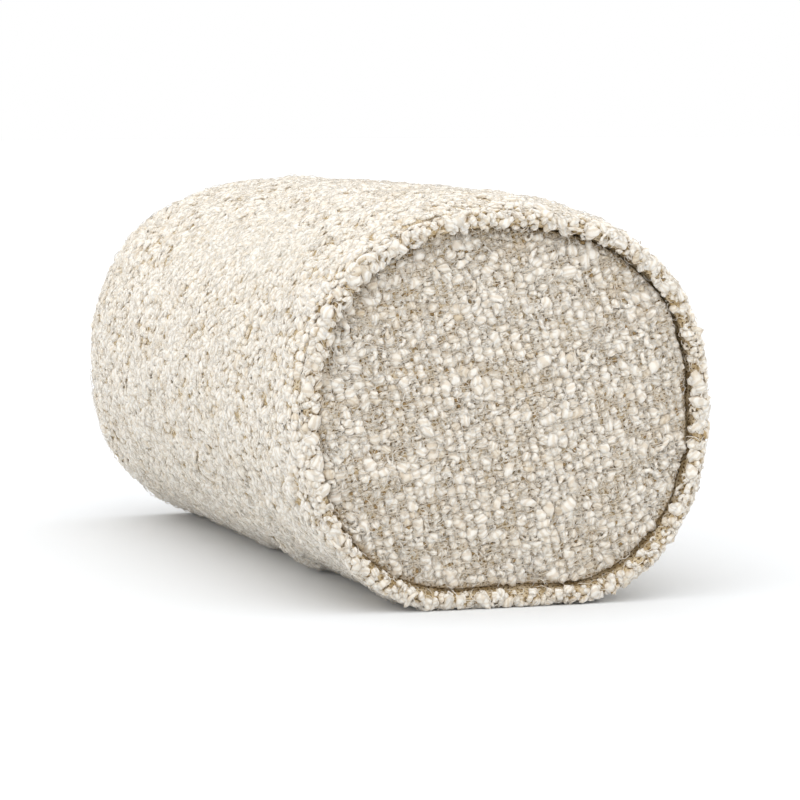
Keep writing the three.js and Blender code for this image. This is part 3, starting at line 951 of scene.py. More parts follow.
@dataclass
class Pile:
    """Gathers small shapes and makes them one piece."""

    name: str
    points: list[np.ndarray] = field(default_factory=list)
    shading_heights: list[np.ndarray] = field(default_factory=list)
    shades: list[np.ndarray] = field(default_factory=list)
    faces: list[np.ndarray] = field(default_factory=list)
    layouts: list[np.ndarray] = field(default_factory=list)
    count: int = 0

    def set(
        self,
        template: Template,
        place: np.ndarray,
        normal: np.ndarray,
        along: np.ndarray,
        size: np.ndarray,
        shade: np.ndarray,
        ragged: float,
        rng: np.random.Generator,
        pale: float = 0.0,
    ) -> None:
        """Sets copies of a template on the cloth.

        Args:
            template: The shape.
            place: Where each copy's foot is.
            normal: Which way each stands.
            along: Which way its length lies.
            size: Half length, half width and height of each.
            shade: How pale each is.
            ragged: How uneven its points are, as a share of its size.
            rng: Draws the unevenness.
            pale: How much of the painted shade at their feet is taken away, lightening them towards their
                tips' colour, from 0 to 1.
        """
        amount, corners = len(place), len(template.points)
        if not amount:
            return
        side = np.cross(normal, along)
        uneven = 1 + ragged * rng.normal(size=(amount, corners, 1)).clip(-1.8, 1.8)
        local = template.points[None] * uneven * size[:, None, :]
        points = (
            place[:, None]
            + local[..., :1] * along[:, None]
            + local[..., 1:2] * side[:, None]
            + local[..., 2:] * normal[:, None]
        )
        points[..., 2] = np.maximum(points[..., 2], FLOOR_CLEARANCE)
        start = sum(len(group) for group in self.points)
        first = start + np.arange(amount)[:, None, None] * corners
        self.points.append(points.reshape(-1, 3))
        # Painted shade: each point's height on its shape, lifted by pale, sets how shaded its colour is
        self.shading_heights.append(np.tile(template.tone + pale * (1 - template.tone), amount))
        self.shades.append(np.repeat(shade, corners))
        self.faces += [(group[None] + first).reshape(-1, group.shape[1]) for group in template.faces]
        cell = np.repeat(self.count + np.arange(amount), corners)
        self.layouts.append(np.concatenate([np.tile(template.layout, (amount, 1)), cell[:, None]], -1))
        self.count += amount

    def make(self, material: Material) -> bpy.types.Object:
        """Makes the piece, with each copy's own square on the flat layout.

        Args:
            material: What it is made of.

        Returns:
            The piece, riding on the root body.
        """
        piece = make_mesh(self.name, np.concatenate(self.points), self.faces)
        # The painted shade's heights and each shape's own shade of colour, for the material to read
        set_attribute(piece, "tone", np.concatenate(self.shading_heights))
        set_attribute(piece, "shade", np.concatenate(self.shades))
        layout = np.concatenate(self.layouts)
        across = math.ceil(math.sqrt(self.count))
        cell = np.stack([layout[:, 2] % across, layout[:, 2] // across], -1)
        set_uv(piece, "OFBake", (cell + 0.5 + layout[:, :2] * 0.46) / across)
        set_uv(piece, "curl", layout[:, :2] + layout[:, 2:] * 3.7)
        piece.data.materials.append(material)
        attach(piece, "root")
        log.info("%s: %d shapes, %d faces", self.name, self.count, len(piece.data.polygons))
        return piece


class Kind(Enum):
    """What a boucle yarn leaves on the cloth."""

    LUMPS = "lumps"
    TUFTS = "tufts"
    NEPS = "neps"
    FIBRES = "fibres"


@dataclass
class Boucle:
    """Covers a surface with curled yarn: lumps and curls in the weave's rows, neps and fibres between."""

    pitch: float = 4.2 * MM
    radius: float = 2.2 * MM
    height: float = 2.75 * MM
    ground_depth: float = 2.0 * MM
    curls: float = 0.22
    beans: float = 0.35
    nep_radius: float = 1.0 * MM
    nep_height: float = 1.5 * MM
    fibre_reach: float = 2.6 * MM
    variety: float = 0.24
    # Share of the painted shade at the lumps' feet that is taken away
    pale: float = 0.0
    tan_neps: float = 0.16
    ragged: float = 0.13
    uneven: float = 0.22
    patch_sizes: tuple[float, float] = (38 * MM, 15 * MM)
    patch_growth: float = 0.12
    patch_shade: float = 0.06
    mean_shade: float = 0.7
    shade_spread: float = 0.17
    least_shade: float = 0.12
    least_height: float = 0.4 * MM

    def cover(
        self,
        pile: Pile,
        surface: Places,
        rng: np.random.Generator,
        kind: Kind,
        headroom: np.ndarray | None = None,
    ) -> None:
        """Sets one kind of shape at places on a surface.

        Args:
            pile: The piece that they become part of.
            surface: Points, outward directions and row directions.
            rng: Draws sizes, turns and kinds.
            kind: What to set.
            headroom: How far each may stand above the surface.
        """
        place, normal, along = surface
        amount = len(place)
        broad, fine = self.patch_sizes
        patches = Waves(broad, SEED + 5).at(place) * 0.5 + Waves(fine, SEED + 6).at(place) * 0.5
        scale = np.exp(rng.normal(0, self.variety, amount) + self.patch_growth * patches).clip(0.5, 1.6)
        turn = rng.uniform(0, 2 * math.pi, amount)
        side = np.cross(normal, along)
        lengthwise = along * np.cos(turn)[:, None] + side * np.sin(turn)[:, None]
        lean = unit(normal + self.uneven * rng.normal(size=normal.shape))
        lengthwise = square_to(lean, lengthwise)
        shade = self.mean_shade + self.shade_spread * rng.normal(size=amount) + self.patch_shade * patches
        shade = shade.clip(self.least_shade, 1)
        if kind is Kind.NEPS:
            shade = np.where(rng.uniform(size=amount) < self.tan_neps, 0.0, shade)
        radius = {Kind.NEPS: self.nep_radius, Kind.FIBRES: self.fibre_reach}.get(kind, self.radius) * scale
        height = {Kind.NEPS: self.nep_height, Kind.FIBRES: self.fibre_reach}.get(kind, self.height)
        height = height * scale**0.6 * (1 + self.uneven * rng.uniform(-1, 0.9, amount))
        depth = np.full(amount, self.ground_depth)
        if kind is Kind.FIBRES:
            depth = rng.uniform(-0.1 * MM, self.ground_depth * 0.8, amount)
        if headroom is not None:
            height = np.minimum(height, (depth + headroom).clip(self.least_height))
        foot = place - normal * depth[:, None]
        stretch = rng.uniform(0.85, 1.35, amount)
        size = np.stack([radius * stretch, radius / stretch, height], -1)
        for template, chosen in self._templates(kind, rng.uniform(size=amount)):
            parts = [values[chosen] for values in (foot, lean, lengthwise, size, shade)]
            pile.set(template, *parts, 0.04 if kind is Kind.FIBRES else self.ragged, rng, self.pale)

    def _templates(self, kind: Kind, draw: np.ndarray) -> list[tuple[Template, np.ndarray]]:
        """Which shape each place gets, from a draw between 0 and 1."""
        if kind is Kind.NEPS:
            return [(NEP, draw >= 0)]
        if kind is Kind.FIBRES:
            share = (draw * len(FIBRES)).astype(int)
            return [(template, share == i) for i, template in enumerate(FIBRES)]
        bent, curled = draw < self.beans, draw > 1 - self.curls
        if kind is Kind.TUFTS:
            return [(CURL, draw > 1 - 0.3 * self.curls), (TUFT, draw <= 1 - 0.3 * self.curls)]
        return [(BEAN, bent), (CURL, curled), (LUMP, ~bent & ~curled)]


# ---------- Cover cloth ----------


@dataclass
class Zipline:
    """Where the zip's slit runs along the tube, and how near a place on the cloth is to it."""

    slit_half: float = 160 * MM
    lip: float = 1.9 * MM
    stitch_offset: float = 7 * MM
    label_from: float = 168 * MM
    label_to: float = 192 * MM
    label_drop: float = math.radians(19)

    def down(self, shape: Settled, phi: np.ndarray) -> np.ndarray:
        """How far down the cloth from the slit an angle lies, in metres."""
        return -from_zip(phi) * shape.radius * shape.width_share

    def open_share(self, x: np.ndarray) -> np.ndarray:
        """1 along the slit, falling to 0 past its ends."""
        return 1 - smooth_step(np.abs(x), self.slit_half - 1 * MM, self.slit_half + 3 * MM)

    def keeps(self, x: np.ndarray, down: np.ndarray, reach: float) -> np.ndarray:
        """Which lumps stay, because they don't stand in the slit or in the long seam."""
        clear = np.where(np.abs(x) < self.slit_half + 4 * MM, self.lip + reach, 0.5 * reach)
        return np.abs(down) > clear

    def headroom(self, x: np.ndarray, down: np.ndarray) -> np.ndarray:
        """How far lumps may stand above the cover's surface at a place."""
        room = np.full(len(x), 2.2 * MM)
        beside = (np.abs(x) < self.slit_half + 8 * MM) & (np.abs(down) < self.stitch_offset + 1.5 * MM)
        room[beside] = 0.3 * MM
        stitched = beside & (np.abs(np.abs(down) - self.stitch_offset) < 1.6 * MM)
        room[stitched] = -0.9 * MM
        low = self.label_drop * 105 * MM
        labelled = (x > self.label_from) & (x < self.label_to) & (down > -2 * MM) & (down < low)
        room[labelled] = 0.2 * MM
        return room


@dataclass
class TubeCloth:
    """The cover's long panel: one width of boucle wrapped round, its edges turned in at the long seam."""

    cover: FilledCover
    zipline: Zipline
    boucle: Boucle
    columns: int = 150
    rows: int = 180
    lip_depths: tuple[float, ...] = (0.5 * MM, 1.5 * MM, 3.0 * MM)
    scatter: float = 0.36
    pit_size: float = 11 * MM
    pit_level: float = 1.75
    end_overlap: float = 1.8 * MM
    thickness: float = 0.9 * MM
    parts: int = 4

    def build(self) -> None:
        """Builds the woven ground and the yarn that stands on it."""
        self._ground()
        self._yarn()

    def _ground(self) -> None:
        """The woven ground, with its edges turned in."""
        end = self.cover.tube_end
        x = np.linspace(-end, end, self.rows)
        gap = 0.3 * MM + (self.zipline.lip - 0.3 * MM) * self.zipline.open_share(x)
        shape = self.cover.shape
        edge = gap / (shape.radius * shape.width_share)
        lips = np.array(self.lip_depths)
        share = np.concatenate([np.zeros(len(lips)), np.linspace(0, 1, self.columns), np.ones(len(lips))])
        extra = np.concatenate([lips[::-1], np.zeros(self.columns), lips])
        phi = ZIP_ANGLE + edge[:, None] + (2 * math.pi - 2 * edge[:, None]) * share[None, :]
        wide = np.broadcast_to(x[:, None], phi.shape)
        place, normal, _ = self.cover.on_tube(wide.ravel(), phi.ravel())
        fray = Waves(9 * MM, SEED + 11).at(place) * 0.15 * MM
        depth = self.boucle.ground_depth + np.tile(extra, self.rows) + fray
        points = (place - normal * depth[:, None]).reshape(self.rows, -1, 3)
        tucked = self._tuck(points)
        points = np.concatenate([tucked[0], points, tucked[1]])
        rows, columns = points.shape[:2]
        points[..., 2] = np.maximum(points[..., 2], 1.4 * MM)
        piece = make_mesh("cover_tube_ground", points.reshape(-1, 3), [grid_faces(rows, columns, False)])
        across = np.arange(columns) / columns * 2 * math.pi * shape.radius
        along = points[:, columns // 2, 0]
        set_cloth(piece, along[:, None], across[None, :])
        thicken(piece, self.thickness)
        dress(piece, "tube_ground", "body_panel")

    def _tuck(self, points: np.ndarray) -> list[np.ndarray]:
        """Rows that turn each end of the tube in towards its seam."""
        tucked = []
        for row, out in ((points[0], -1), (points[-1], 1)):
            middle = np.array([0, 0, self.cover.shape.floor_share * self.cover.shape.radius])
            inward = unit((middle - row) * np.array([0, 1, 1]))
            steps = [(0.8 * MM, 0.6 * MM), (1.0 * MM, 2.2 * MM)]
            rows = [row + inward * drop + np.array([out * move, 0, 0]) for move, drop in steps]
            tucked.append(np.stack(rows[::-1] if out < 0 else rows))
        return tucked

    def _yarn(self) -> None:
        """Soft tufts crowded in the rows of the weave, and the fibres that stray over them."""
        rng = np.random.default_rng(SEED + 20)
        for part in range(self.parts):
            pile = Pile(f"cover_tube_boucle_{part + 1}")
            self._rows(pile, part, self.boucle.pitch, Kind.TUFTS, rng)
            self._rows(pile, part, self.boucle.pitch * 1.08, Kind.FIBRES, rng)
            piece = pile.make(FINISHES["yarn"])
            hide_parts("body_panel")

    def _rows(self, pile: Pile, part: int, pitch: float, kind: Kind, rng: np.random.Generator) -> None:
        """Sets one kind of shape over one part of the tube's length."""
        shape = self.cover.shape
        end = self.cover.tube_end + self.end_overlap
        around = round(2 * math.pi * shape.radius * 1.03 / pitch)
        span = 2 * end / self.parts
        lines = max(1, round(span / pitch))
        i, j = np.meshgrid(np.arange(lines), np.arange(around), indexing="ij")
        x = -end + part * span + (i.ravel() + 0.5) * span / lines
        phi = (j.ravel() + 0.5 * (i.ravel() % 2)) * 2 * math.pi / around
        x = x + rng.uniform(-self.scatter, self.scatter, x.shape) * pitch
        phi = phi + rng.uniform(-self.scatter, self.scatter, x.shape) * pitch / shape.radius
        x = x.clip(-end, end)
        down = self.zipline.down(shape, phi)
        keep = self.zipline.keeps(x, down, self.boucle.radius * 0.9)
        x, phi, down = x[keep], phi[keep], down[keep]
        pits = Waves(self.pit_size, SEED + 8).at(self.cover.on_tube(x, phi)[0])
        if kind is Kind.TUFTS:
            keep = pits < self.pit_level
            x, phi, down = x[keep], phi[keep], down[keep]
        place, normal, along = self.cover.on_tube(x, phi)
        place[:, 0] = np.where(np.abs(x) > self.cover.tube_end, x, place[:, 0])
        self.boucle.cover(pile, (place, normal, along), rng, kind, self.zipline.headroom(x, down))


def thicken(piece: bpy.types.Object, thickness: float) -> None:
    """Gives a sheet an inner face, below the one that it has."""
    pick(piece)
    wall = piece.modifiers.new("wall", "SOLIDIFY")
    wall.thickness = thickness
    wall.offset = -1
    bpy.ops.object.modifier_apply(modifier=wall.name)


@dataclass
class EndCloth:
    """An end panel: a round of the same boucle, its grain askew, with fine binder threads over it."""

    cover: FilledCover
    boucle: Boucle
    end: End
    grain: float = math.radians(15)
    rings: int = 40
    columns: int = 160
    thickness: float = 0.9 * MM
    lattice: tuple[float, float] = (4.8 * MM, 3.8 * MM)
    scatter: tuple[float, float] = (0.09, 0.24)
    bare_size: float = 10 * MM
    bare_level: float = 1.6
    rim_margin: float = 1.3 * MM
    nep_margin: float = 0.6 * MM
    thread_pitch: float = 3.4 * MM
    thread_radius: float = 0.24 * MM
    thread_step: float = 1.8 * MM
    thread_bend: float = 9 * MM
    thread_wander: float = 0.6 * MM
    thread_lift: float = 0.3 * MM
    thread_swing: float = 0.7 * MM
    # Painted shade level of the binder threads, as a height on a lump
    thread_shading_height: float = 0.5
    thread_shade: float = 0.7

    def build(self) -> None:
        """Builds the panel's ground, its yarn and its binder threads."""
        self._ground()
        self._yarn()
        self._threads()

    def _polar(self, across: np.ndarray, up: np.ndarray) -> tuple[np.ndarray, np.ndarray]:
        """Sewn radius and angle of places given in the cloth's own directions, from the panel's middle."""
        shape = self.cover.shape
        turn = self.grain * self.end.value
        y = across * math.cos(turn) - up * math.sin(turn)
        z = across * math.sin(turn) + up * math.cos(turn)
        height = z + shape.floor_share * (shape.radius - shape.shoulder_drop)
        radius = shape.sewn_radius(y, height)
        level = np.clip(np.abs(y) / (shape.width_share * np.maximum(radius, 1e-6)), 0, 1)
        power = shape.squareness
        rise = (1 - level**power) ** (1 / power)
        return radius, np.arctan2(np.sign(z) * rise, np.sign(y) * level)

    def _ground(self) -> None:
        """The woven ground, its rim turned back into the seam."""
        rim = self.cover.panel_radius
        radii = np.linspace(0.02, 1, self.rings) * rim
        phi = full_turn(self.columns)
        r, p = np.meshgrid(radii, phi, indexing="ij")
        place, normal, _ = self.cover.on_panel(self.end, r.ravel(), p.ravel())
        fray = Waves(9 * MM, SEED + 12).at(place) * 0.15 * MM
        points = (place - normal * (self.boucle.ground_depth * 0.8 + fray)[:, None]).reshape(r.shape + (3,))
        rims = []
        for back, out in ((1.2 * MM, 0.7 * MM), (3.5 * MM, 1.0 * MM)):
            edge = points[-1] + unit(points[-1] - points[-3]) * out
            rims.append(edge - np.array([self.end.value * back, 0, 0]))
        points = np.concatenate([points, np.stack(rims)])
        points[..., 2] = np.maximum(points[..., 2], 1.4 * MM)
        rows = len(points)
        middle = points[0].mean(axis=0)
        faces = grid_faces(rows, self.columns, True)
        ring = np.arange(self.columns)
        pole = np.stack([np.full(self.columns, rows * self.columns), (ring + 1) % self.columns, ring], -1)
        if self.end is End.FRONT:
            faces, pole = faces[:, ::-1], pole[:, ::-1]
        vertices = np.concatenate([points.reshape(-1, 3), middle[None]])
        piece = make_mesh(f"end_panel_ground_{self.end.label}", vertices, [faces, pole])
        turn = -self.grain * self.end.value
        y, z = vertices[:, 1], vertices[:, 2]
        across = y * math.cos(turn) - z * math.sin(turn)
        up = y * math.sin(turn) + z * math.cos(turn)
        set_cloth(piece, across, up)
        thicken(piece, self.thickness)
        dress(piece, "end_ground", f"end_panel_{self.end.label}")

    def _yarn(self) -> None:
        """Lumps, curls, neps and fibres on the panel's own grain."""
        rng = np.random.default_rng(SEED + 30 + self.end.value)
        layers = {"lumps": [(Kind.LUMPS, 1.0)], "fibres": [(Kind.NEPS, 0.64), (Kind.FIBRES, 0.64)]}
        for name, kinds in layers.items():
            pile = Pile(f"end_panel_{name}_{self.end.label}")
            for kind, spacing in kinds:
                self._rows(pile, kind, spacing, rng)
            piece = pile.make(FINISHES["yarn"])
            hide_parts(f"end_panel_{self.end.label}")

    def _rows(self, pile: Pile, kind: Kind, spacing: float, rng: np.random.Generator) -> None:
        """Sets one kind of shape over the panel, at a share of the lattice's spacing."""
        reach = 1.1 * self.cover.panel_radius
        wide, high = self.lattice[0] * spacing, self.lattice[1] * spacing
        i, j = np.meshgrid(np.arange(-reach, reach, wide), np.arange(-reach, reach, high), indexing="ij")
        row = np.round(i / wide).astype(int)
        across = i + rng.uniform(-self.scatter[0], self.scatter[0], i.shape) * wide
        up = j + 0.5 * (row % 2) * high + rng.uniform(-self.scatter[1], self.scatter[1], i.shape) * high
        radius, phi = self._polar(across.ravel(), up.ravel())
        margin = self.nep_margin if kind is Kind.NEPS else self.rim_margin
        keep = radius < self.cover.panel_radius - margin
        surface = self.cover.on_panel(self.end, radius[keep], phi[keep])
        if kind is Kind.LUMPS:
            bare = Waves(self.bare_size, SEED + 9).at(surface[0]) > self.bare_level
            surface = tuple(values[~bare] for values in surface)
        self.boucle.cover(pile, surface, rng, kind)

    def _threads(self) -> None:
        """Binder threads, each wandering over and under the lumps."""
        rng = np.random.default_rng(SEED + 40 + self.end.value)
        reach = 1.1 * self.cover.panel_radius
        strands = []
        for start in np.arange(-reach, reach, self.thread_pitch):
            along = np.arange(-reach, reach, self.thread_step)
            knots = np.arange(-reach, reach + self.thread_bend, self.thread_bend)
            offset = start + rng.uniform(-0.4, 0.4) * self.thread_pitch
            wander = np.interp(along, knots, rng.normal(0, self.thread_wander, len(knots)))
            radius, phi = self._polar(along, offset + wander)
            inside = radius < self.cover.panel_radius - 1 * MM
            if inside.sum() < 4:
                continue
            place, normal, _ = self.cover.on_panel(self.end, radius[inside], phi[inside])
            swing = np.sin(along[inside] / (4.4 * MM) * math.pi + rng.uniform(0, 2 * math.pi))
            lift = self.thread_lift + self.thread_swing * swing + rng.normal(0, 0.2 * MM, inside.sum())
            strands.append(place + normal * lift[:, None])
        piece = strand_piece(f"end_panel_binder_{self.end.label}", strands, self.thread_radius, 3)
        corners = len(piece.data.vertices)
        # Painted shade for the binder threads, at one fixed level
        set_attribute(piece, "tone", np.full(corners, self.thread_shading_height))
        set_attribute(piece, "shade", np.full(corners, self.thread_shade))
        dress(piece, "binder", f"end_panel_{self.end.label}")


def strand_piece(name: str, strands: list[np.ndarray], radius: float, sides: int) -> bpy.types.Object:
    """One piece of many thin tubes.

    Args:
        name: The piece's name.
        strands: The points that each tube follows.
        radius: Of every tube.
        sides: Points round a tube.

    Returns:
        The piece, with each tube's length and girth as a strip of its flat layout.
    """
    points, walls, caps, layout = [], [], [], []
    start = 0
    rows = max(1, len(strands))
    for number, path in enumerate(strands):
        count = len(path)
        way = unit(np.gradient(path, axis=0))
        hint = np.where(np.abs(way[:, 2:3]) < 0.9, np.array([[0.0, 0, 1]]), np.array([[0.0, 1, 0]]))
        side = unit(np.cross(way, hint))
        other = np.cross(way, side)
        angle = full_turn(sides)
        taper = np.ones(count)
        taper[[0, -1]] = 0.6
        girth = np.cos(angle)[None, :, None] * side[:, None] + np.sin(angle)[None, :, None] * other[:, None]
        points.append((path[:, None] + girth * radius * taper[:, None, None]).reshape(-1, 3))
        i, j = np.meshgrid(np.arange(count - 1), np.arange(sides), indexing="ij")
        after = (j + 1) % sides
        quad = [i * sides + j, i * sides + after, (i + 1) * sides + after, (i + 1) * sides + j]
        wall = np.stack(quad, -1) + start
        walls.append(np.concatenate([wall[:, -1], wall[:, :-1].reshape(-1, 4)]))
        foot = start + np.arange(sides)
        caps.append(np.stack([foot[::-1], foot + (count - 1) * sides]))
        u = np.repeat(np.linspace(0.01, 0.99, count), sides)
        v = (number + 0.15 + 0.7 * np.tile(np.arange(sides) / (sides - 1), count)) / rows
        layout.append(np.stack([u, v], -1))
        start += count * sides
    piece = make_mesh(name, np.concatenate(points), [np.concatenate(caps), np.concatenate(walls)])
    set_uv(piece, "OFBake", np.concatenate(layout))
    return piece


@dataclass
class Welt:
    """A corded end seam: a strip of the boucle round a filler cord, standing as a ridge round the end."""

    cover: FilledCover
    boucle: Boucle
    end: End
    radius: float = 4.2 * MM
    ground_radius: float = 2.9 * MM
    centre_radius: float = 89.5 * MM
    tail_tilt: float = math.radians(22)
    tail_length: float = 8.5 * MM
    tail_thickness: float = 1.0 * MM
    tail_slot: float = 0.6 * MM
    bore: float = 2.0 * MM
    columns: int = 300
    pitch: float = 4.2 * MM
    rows: tuple[tuple[float, float, float], ...] = (
        (-62, 0.8, 1.9),
        (-22, 0.95, 1.5),
        (20, 1.0, 1.25),
        (64, 1.0, 1.0),
        (106, 1.0, 0.95),
        (140, 0.95, 1.0),
    )
    pitted_below: float = 40

    def build(self) -> None:
        """Builds the casing's ground and the yarn on it."""
        self._casing()
        self._yarn()

    def _point(self, along: np.ndarray, across: np.ndarray) -> tuple[np.ndarray, np.ndarray]:
        """X and sewn radius of a place about the cord, measured along and across the seam allowance."""
        radius = self.centre_radius - along * math.sin(self.tail_tilt) + across * math.cos(self.tail_tilt)
        x = self.cover.shape.seam_x - along * math.cos(self.tail_tilt) - across * math.sin(self.tail_tilt)
        return x, radius

    def _arc(self, radius: float, start: float, end: float, steps: int) -> np.ndarray:
        """Places on an arc about the cord, as rows of along and across."""
        angle = np.linspace(start, end, steps)
        return np.stack([radius * np.cos(angle), radius * np.sin(angle)], -1)

    def _casing(self) -> None:
        """The casing's ground: a fold round the cord and its two layers of allowance, inside the cover."""
        inner, outer = self.tail_slot / 2, self.tail_slot / 2 + self.tail_thickness
        raw = self.radius + self.tail_length
        outer_from = math.asin(outer / self.ground_radius)
        inner_from = math.asin(inner / self.bore)
        turn = 2 * math.pi
        outline = np.concatenate([
            [[raw, outer], [raw - 3 * MM, outer]],
            self._arc(self.ground_radius, outer_from, turn - outer_from, 18),
            [[raw - 3 * MM, -outer], [raw, -outer], [raw, -inner], [raw - 3 * MM, -inner]],
            self._arc(self.bore, turn - inner_from, inner_from, 14),
            [[raw - 3 * MM, inner], [raw, inner]],
        ])
        x, radius = self._point(outline[:, 0], outline[:, 1])
        phi = full_turn(self.columns)
        place = self.cover.shape.place(self.end.value * x[:, None], radius[:, None], phi[None, :])
        place[..., 2] = np.maximum(place[..., 2], 0.4 * MM)
        faces = wrap_faces(len(outline), self.columns)
        if self.end is End.REAR:
            faces = faces[:, ::-1]
        piece = make_mesh(f"welt_casing_ground_{self.end.label}", place.reshape(-1, 3), [faces])
        set_cloth(piece, phi[None, :] * self.centre_radius, length_to(outline)[:, None])
        dress(piece, "welt_ground", f"welt_casing_{self.end.label}")

    def _yarn(self) -> None:
        """Rows of lumps round the ridge, crowded on its outside and parted by pits on its inside."""
        rng = np.random.default_rng(SEED + 50 + self.end.value)
        pile = Pile(f"welt_boucle_{self.end.label}")
        for number, (lift, scale, spacing) in enumerate(self.rows):
            self._set(pile, lift, scale, spacing, 0.5 * (number % 2), rng, Kind.LUMPS)
            self._set(pile, lift - 9, 1.0, spacing * 0.75, 0.4, rng, Kind.FIBRES)
            if lift > self.pitted_below:
                self._set(pile, lift + 18, 1.0, spacing * 0.6, 0.25, rng, Kind.NEPS)
        piece = pile.make(FINISHES["yarn"])
        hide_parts(f"welt_casing_{self.end.label}")

    def _set(
        self,
        pile: Pile,
        lift: float,
        scale: float,
        spacing: float,
        start: float,
        rng: np.random.Generator,
        kind: Kind,
    ) -> None:
        """Sets a row of shapes along the ridge.

        Args:
            pile: The piece that they become part of.
            lift: Degrees from facing out of the end to facing away from the axis.
            scale: Their size, as a share of the boucle's.
            spacing: From one to the next, as a share of the pitch.
            start: Where the row starts, as a share of the spacing.
            rng: Draws their places.
            kind: What to set.
        """
        amount = round(2 * math.pi * self.centre_radius / (self.pitch * spacing))
        phi = (np.arange(amount) + start + rng.uniform(-0.27, 0.27, amount)) * 2 * math.pi / amount
        angle = np.radians(lift) + rng.normal(0, 0.1, amount)

        def at(reach: float) -> np.ndarray:
            """Places at a distance from the cord's middle."""
            x = self.cover.shape.seam_x + reach * np.cos(angle)
            radius = self.centre_radius + reach * np.sin(angle)
            return self.cover.shape.place(self.end.value * x, radius, phi)

        surface = at(self.radius * 0.95)
        normal = unit(surface - at(self.radius * 0.3))
        middle = self.cover.shape.place(0, self.centre_radius, phi)
        along = unit(self.cover.shape.place(0, self.centre_radius, phi + 0.01) - middle)
        along = square_to(normal, along)
        ridge = Boucle(
            radius=self.boucle.radius * scale,
            height=1.9 * MM,
            ground_depth=1.3 * MM,
            nep_height=1.1 * MM,
            tan_neps=0.45,
        )
        ridge.cover(pile, (surface, normal, along), rng, kind)


def wrap_faces(rows: int, columns: int) -> np.ndarray:
    """Faces of a grid that closes on itself both ways."""
    r, c = np.meshgrid(np.arange(rows), np.arange(columns), indexing="ij")
    below, after = (r + 1) % rows, (c + 1) % columns
    corners = [r * columns + c, below * columns + c, below * columns + after, r * columns + after]
    return np.stack(corners, -1).reshape(-1, 4)


# ---------- Stitches ----------


def stitch_template() -> Template:
    """One stitch: a short length of thread, thick in the middle, going into the cloth at both ends."""
    share = np.array([-1.0, -0.8, 0.0, 0.8, 1.0])
    girth = np.array([0.35, 0.8, 1.0, 0.8, 0.35])
    drop = np.array([-1.1, -0.25, 0.0, -0.25, -1.1])
    angle = np.arange(6) * math.pi / 3
    rings = [
        np.stack([np.full(6, s), g * np.cos(angle), g * np.sin(angle) + d], -1)
        for s, g, d in zip(share, girth, drop)
    ]
    points = np.concatenate(rings)
    r, c = np.meshgrid(np.arange(4), np.arange(6), indexing="ij")
    after = (c + 1) % 6
    walls = np.stack([r * 6 + c, r * 6 + after, (r + 1) * 6 + after, (r + 1) * 6 + c], -1)[..., ::-1]
    ends = np.stack([np.arange(6), 24 + np.arange(6)[::-1]])
    layout = np.stack([np.repeat(share, 6), np.tile(np.arange(6) / 3 - 1, 5)], -1) * 0.95
    faces = [ends, walls[:, -1].reshape(-1, 4), walls[:, :-1].reshape(-1, 4)]
    return Template(points, faces, layout, np.full(30, 0.8))


STITCH = stitch_template()


@dataclass
class StitchRow:
    """Rows of stitches in one piece."""

    name: str
    replaces: str
    radius: float = 0.36 * MM
    pitch: float = 3.1 * MM

    def sew(self, rows: list[tuple[np.ndarray, np.ndarray]], length: float | None = None) -> bpy.types.Object:
        """Sews stitches end to end along rows.

        Args:
            rows: For each row, the stitches' middles and their outward directions, in order.
            length: Of one stitch, where it isn't most of the pitch.

        Returns:
            The piece.
        """
        rng = np.random.default_rng(SEED + 60)
        pile = Pile(self.name)
        half = (length or 0.88 * self.pitch) / 2
        for place, normal in rows:
            along = unit(np.gradient(place, axis=0)) if length is None else self._across(place, normal)
            along = square_to(normal, along)
            size = np.tile([half, self.radius, self.radius], (len(place), 1))
            shade = rng.uniform(0.5, 1, len(place))
            pile.set(STITCH, place, normal, along, size, shade, 0.0, rng)
        piece = pile.make(FINISHES["thread"])
        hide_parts(self.replaces)
        return piece

    def _across(self, place: np.ndarray, normal: np.ndarray) -> np.ndarray:
        """Directions across a row, each leaning a little, as in a bar tack."""
        onward = unit(np.gradient(place, axis=0))
        lean = np.where(np.arange(len(place)) % 2 == 0, 0.12, -0.12)[:, None]
        return unit(np.cross(normal, onward) + onward * lean)


# ---------- Zip ----------


@dataclass
class ZipFrame:
    """The zip's own directions: along the slit, down the cloth and out of it."""

    shape: Settled
    facet: float = math.radians(10)

    def __post_init__(self) -> None:
        """Lays the frame on the facet of the frame's tube that carries the zip."""
        above, below, middle = (
            self.shape.place(0, self.shape.radius, ZIP_ANGLE + turn) for turn in (self.facet, -self.facet, 0)
        )
        self.origin = middle
        self.along = np.array([1.0, 0, 0])
        self.down = unit(below - above)
        self.out = np.cross(self.along, self.down)

    def place(self, x: np.ndarray, y: np.ndarray, z: np.ndarray) -> np.ndarray:
        """Points in the pillow's frame, from places along, down and out."""
        x, y, z = (np.asarray(v, float)[..., None] for v in np.broadcast_arrays(x, y, z))
        return self.origin + x * self.along + y * self.down + z * self.out


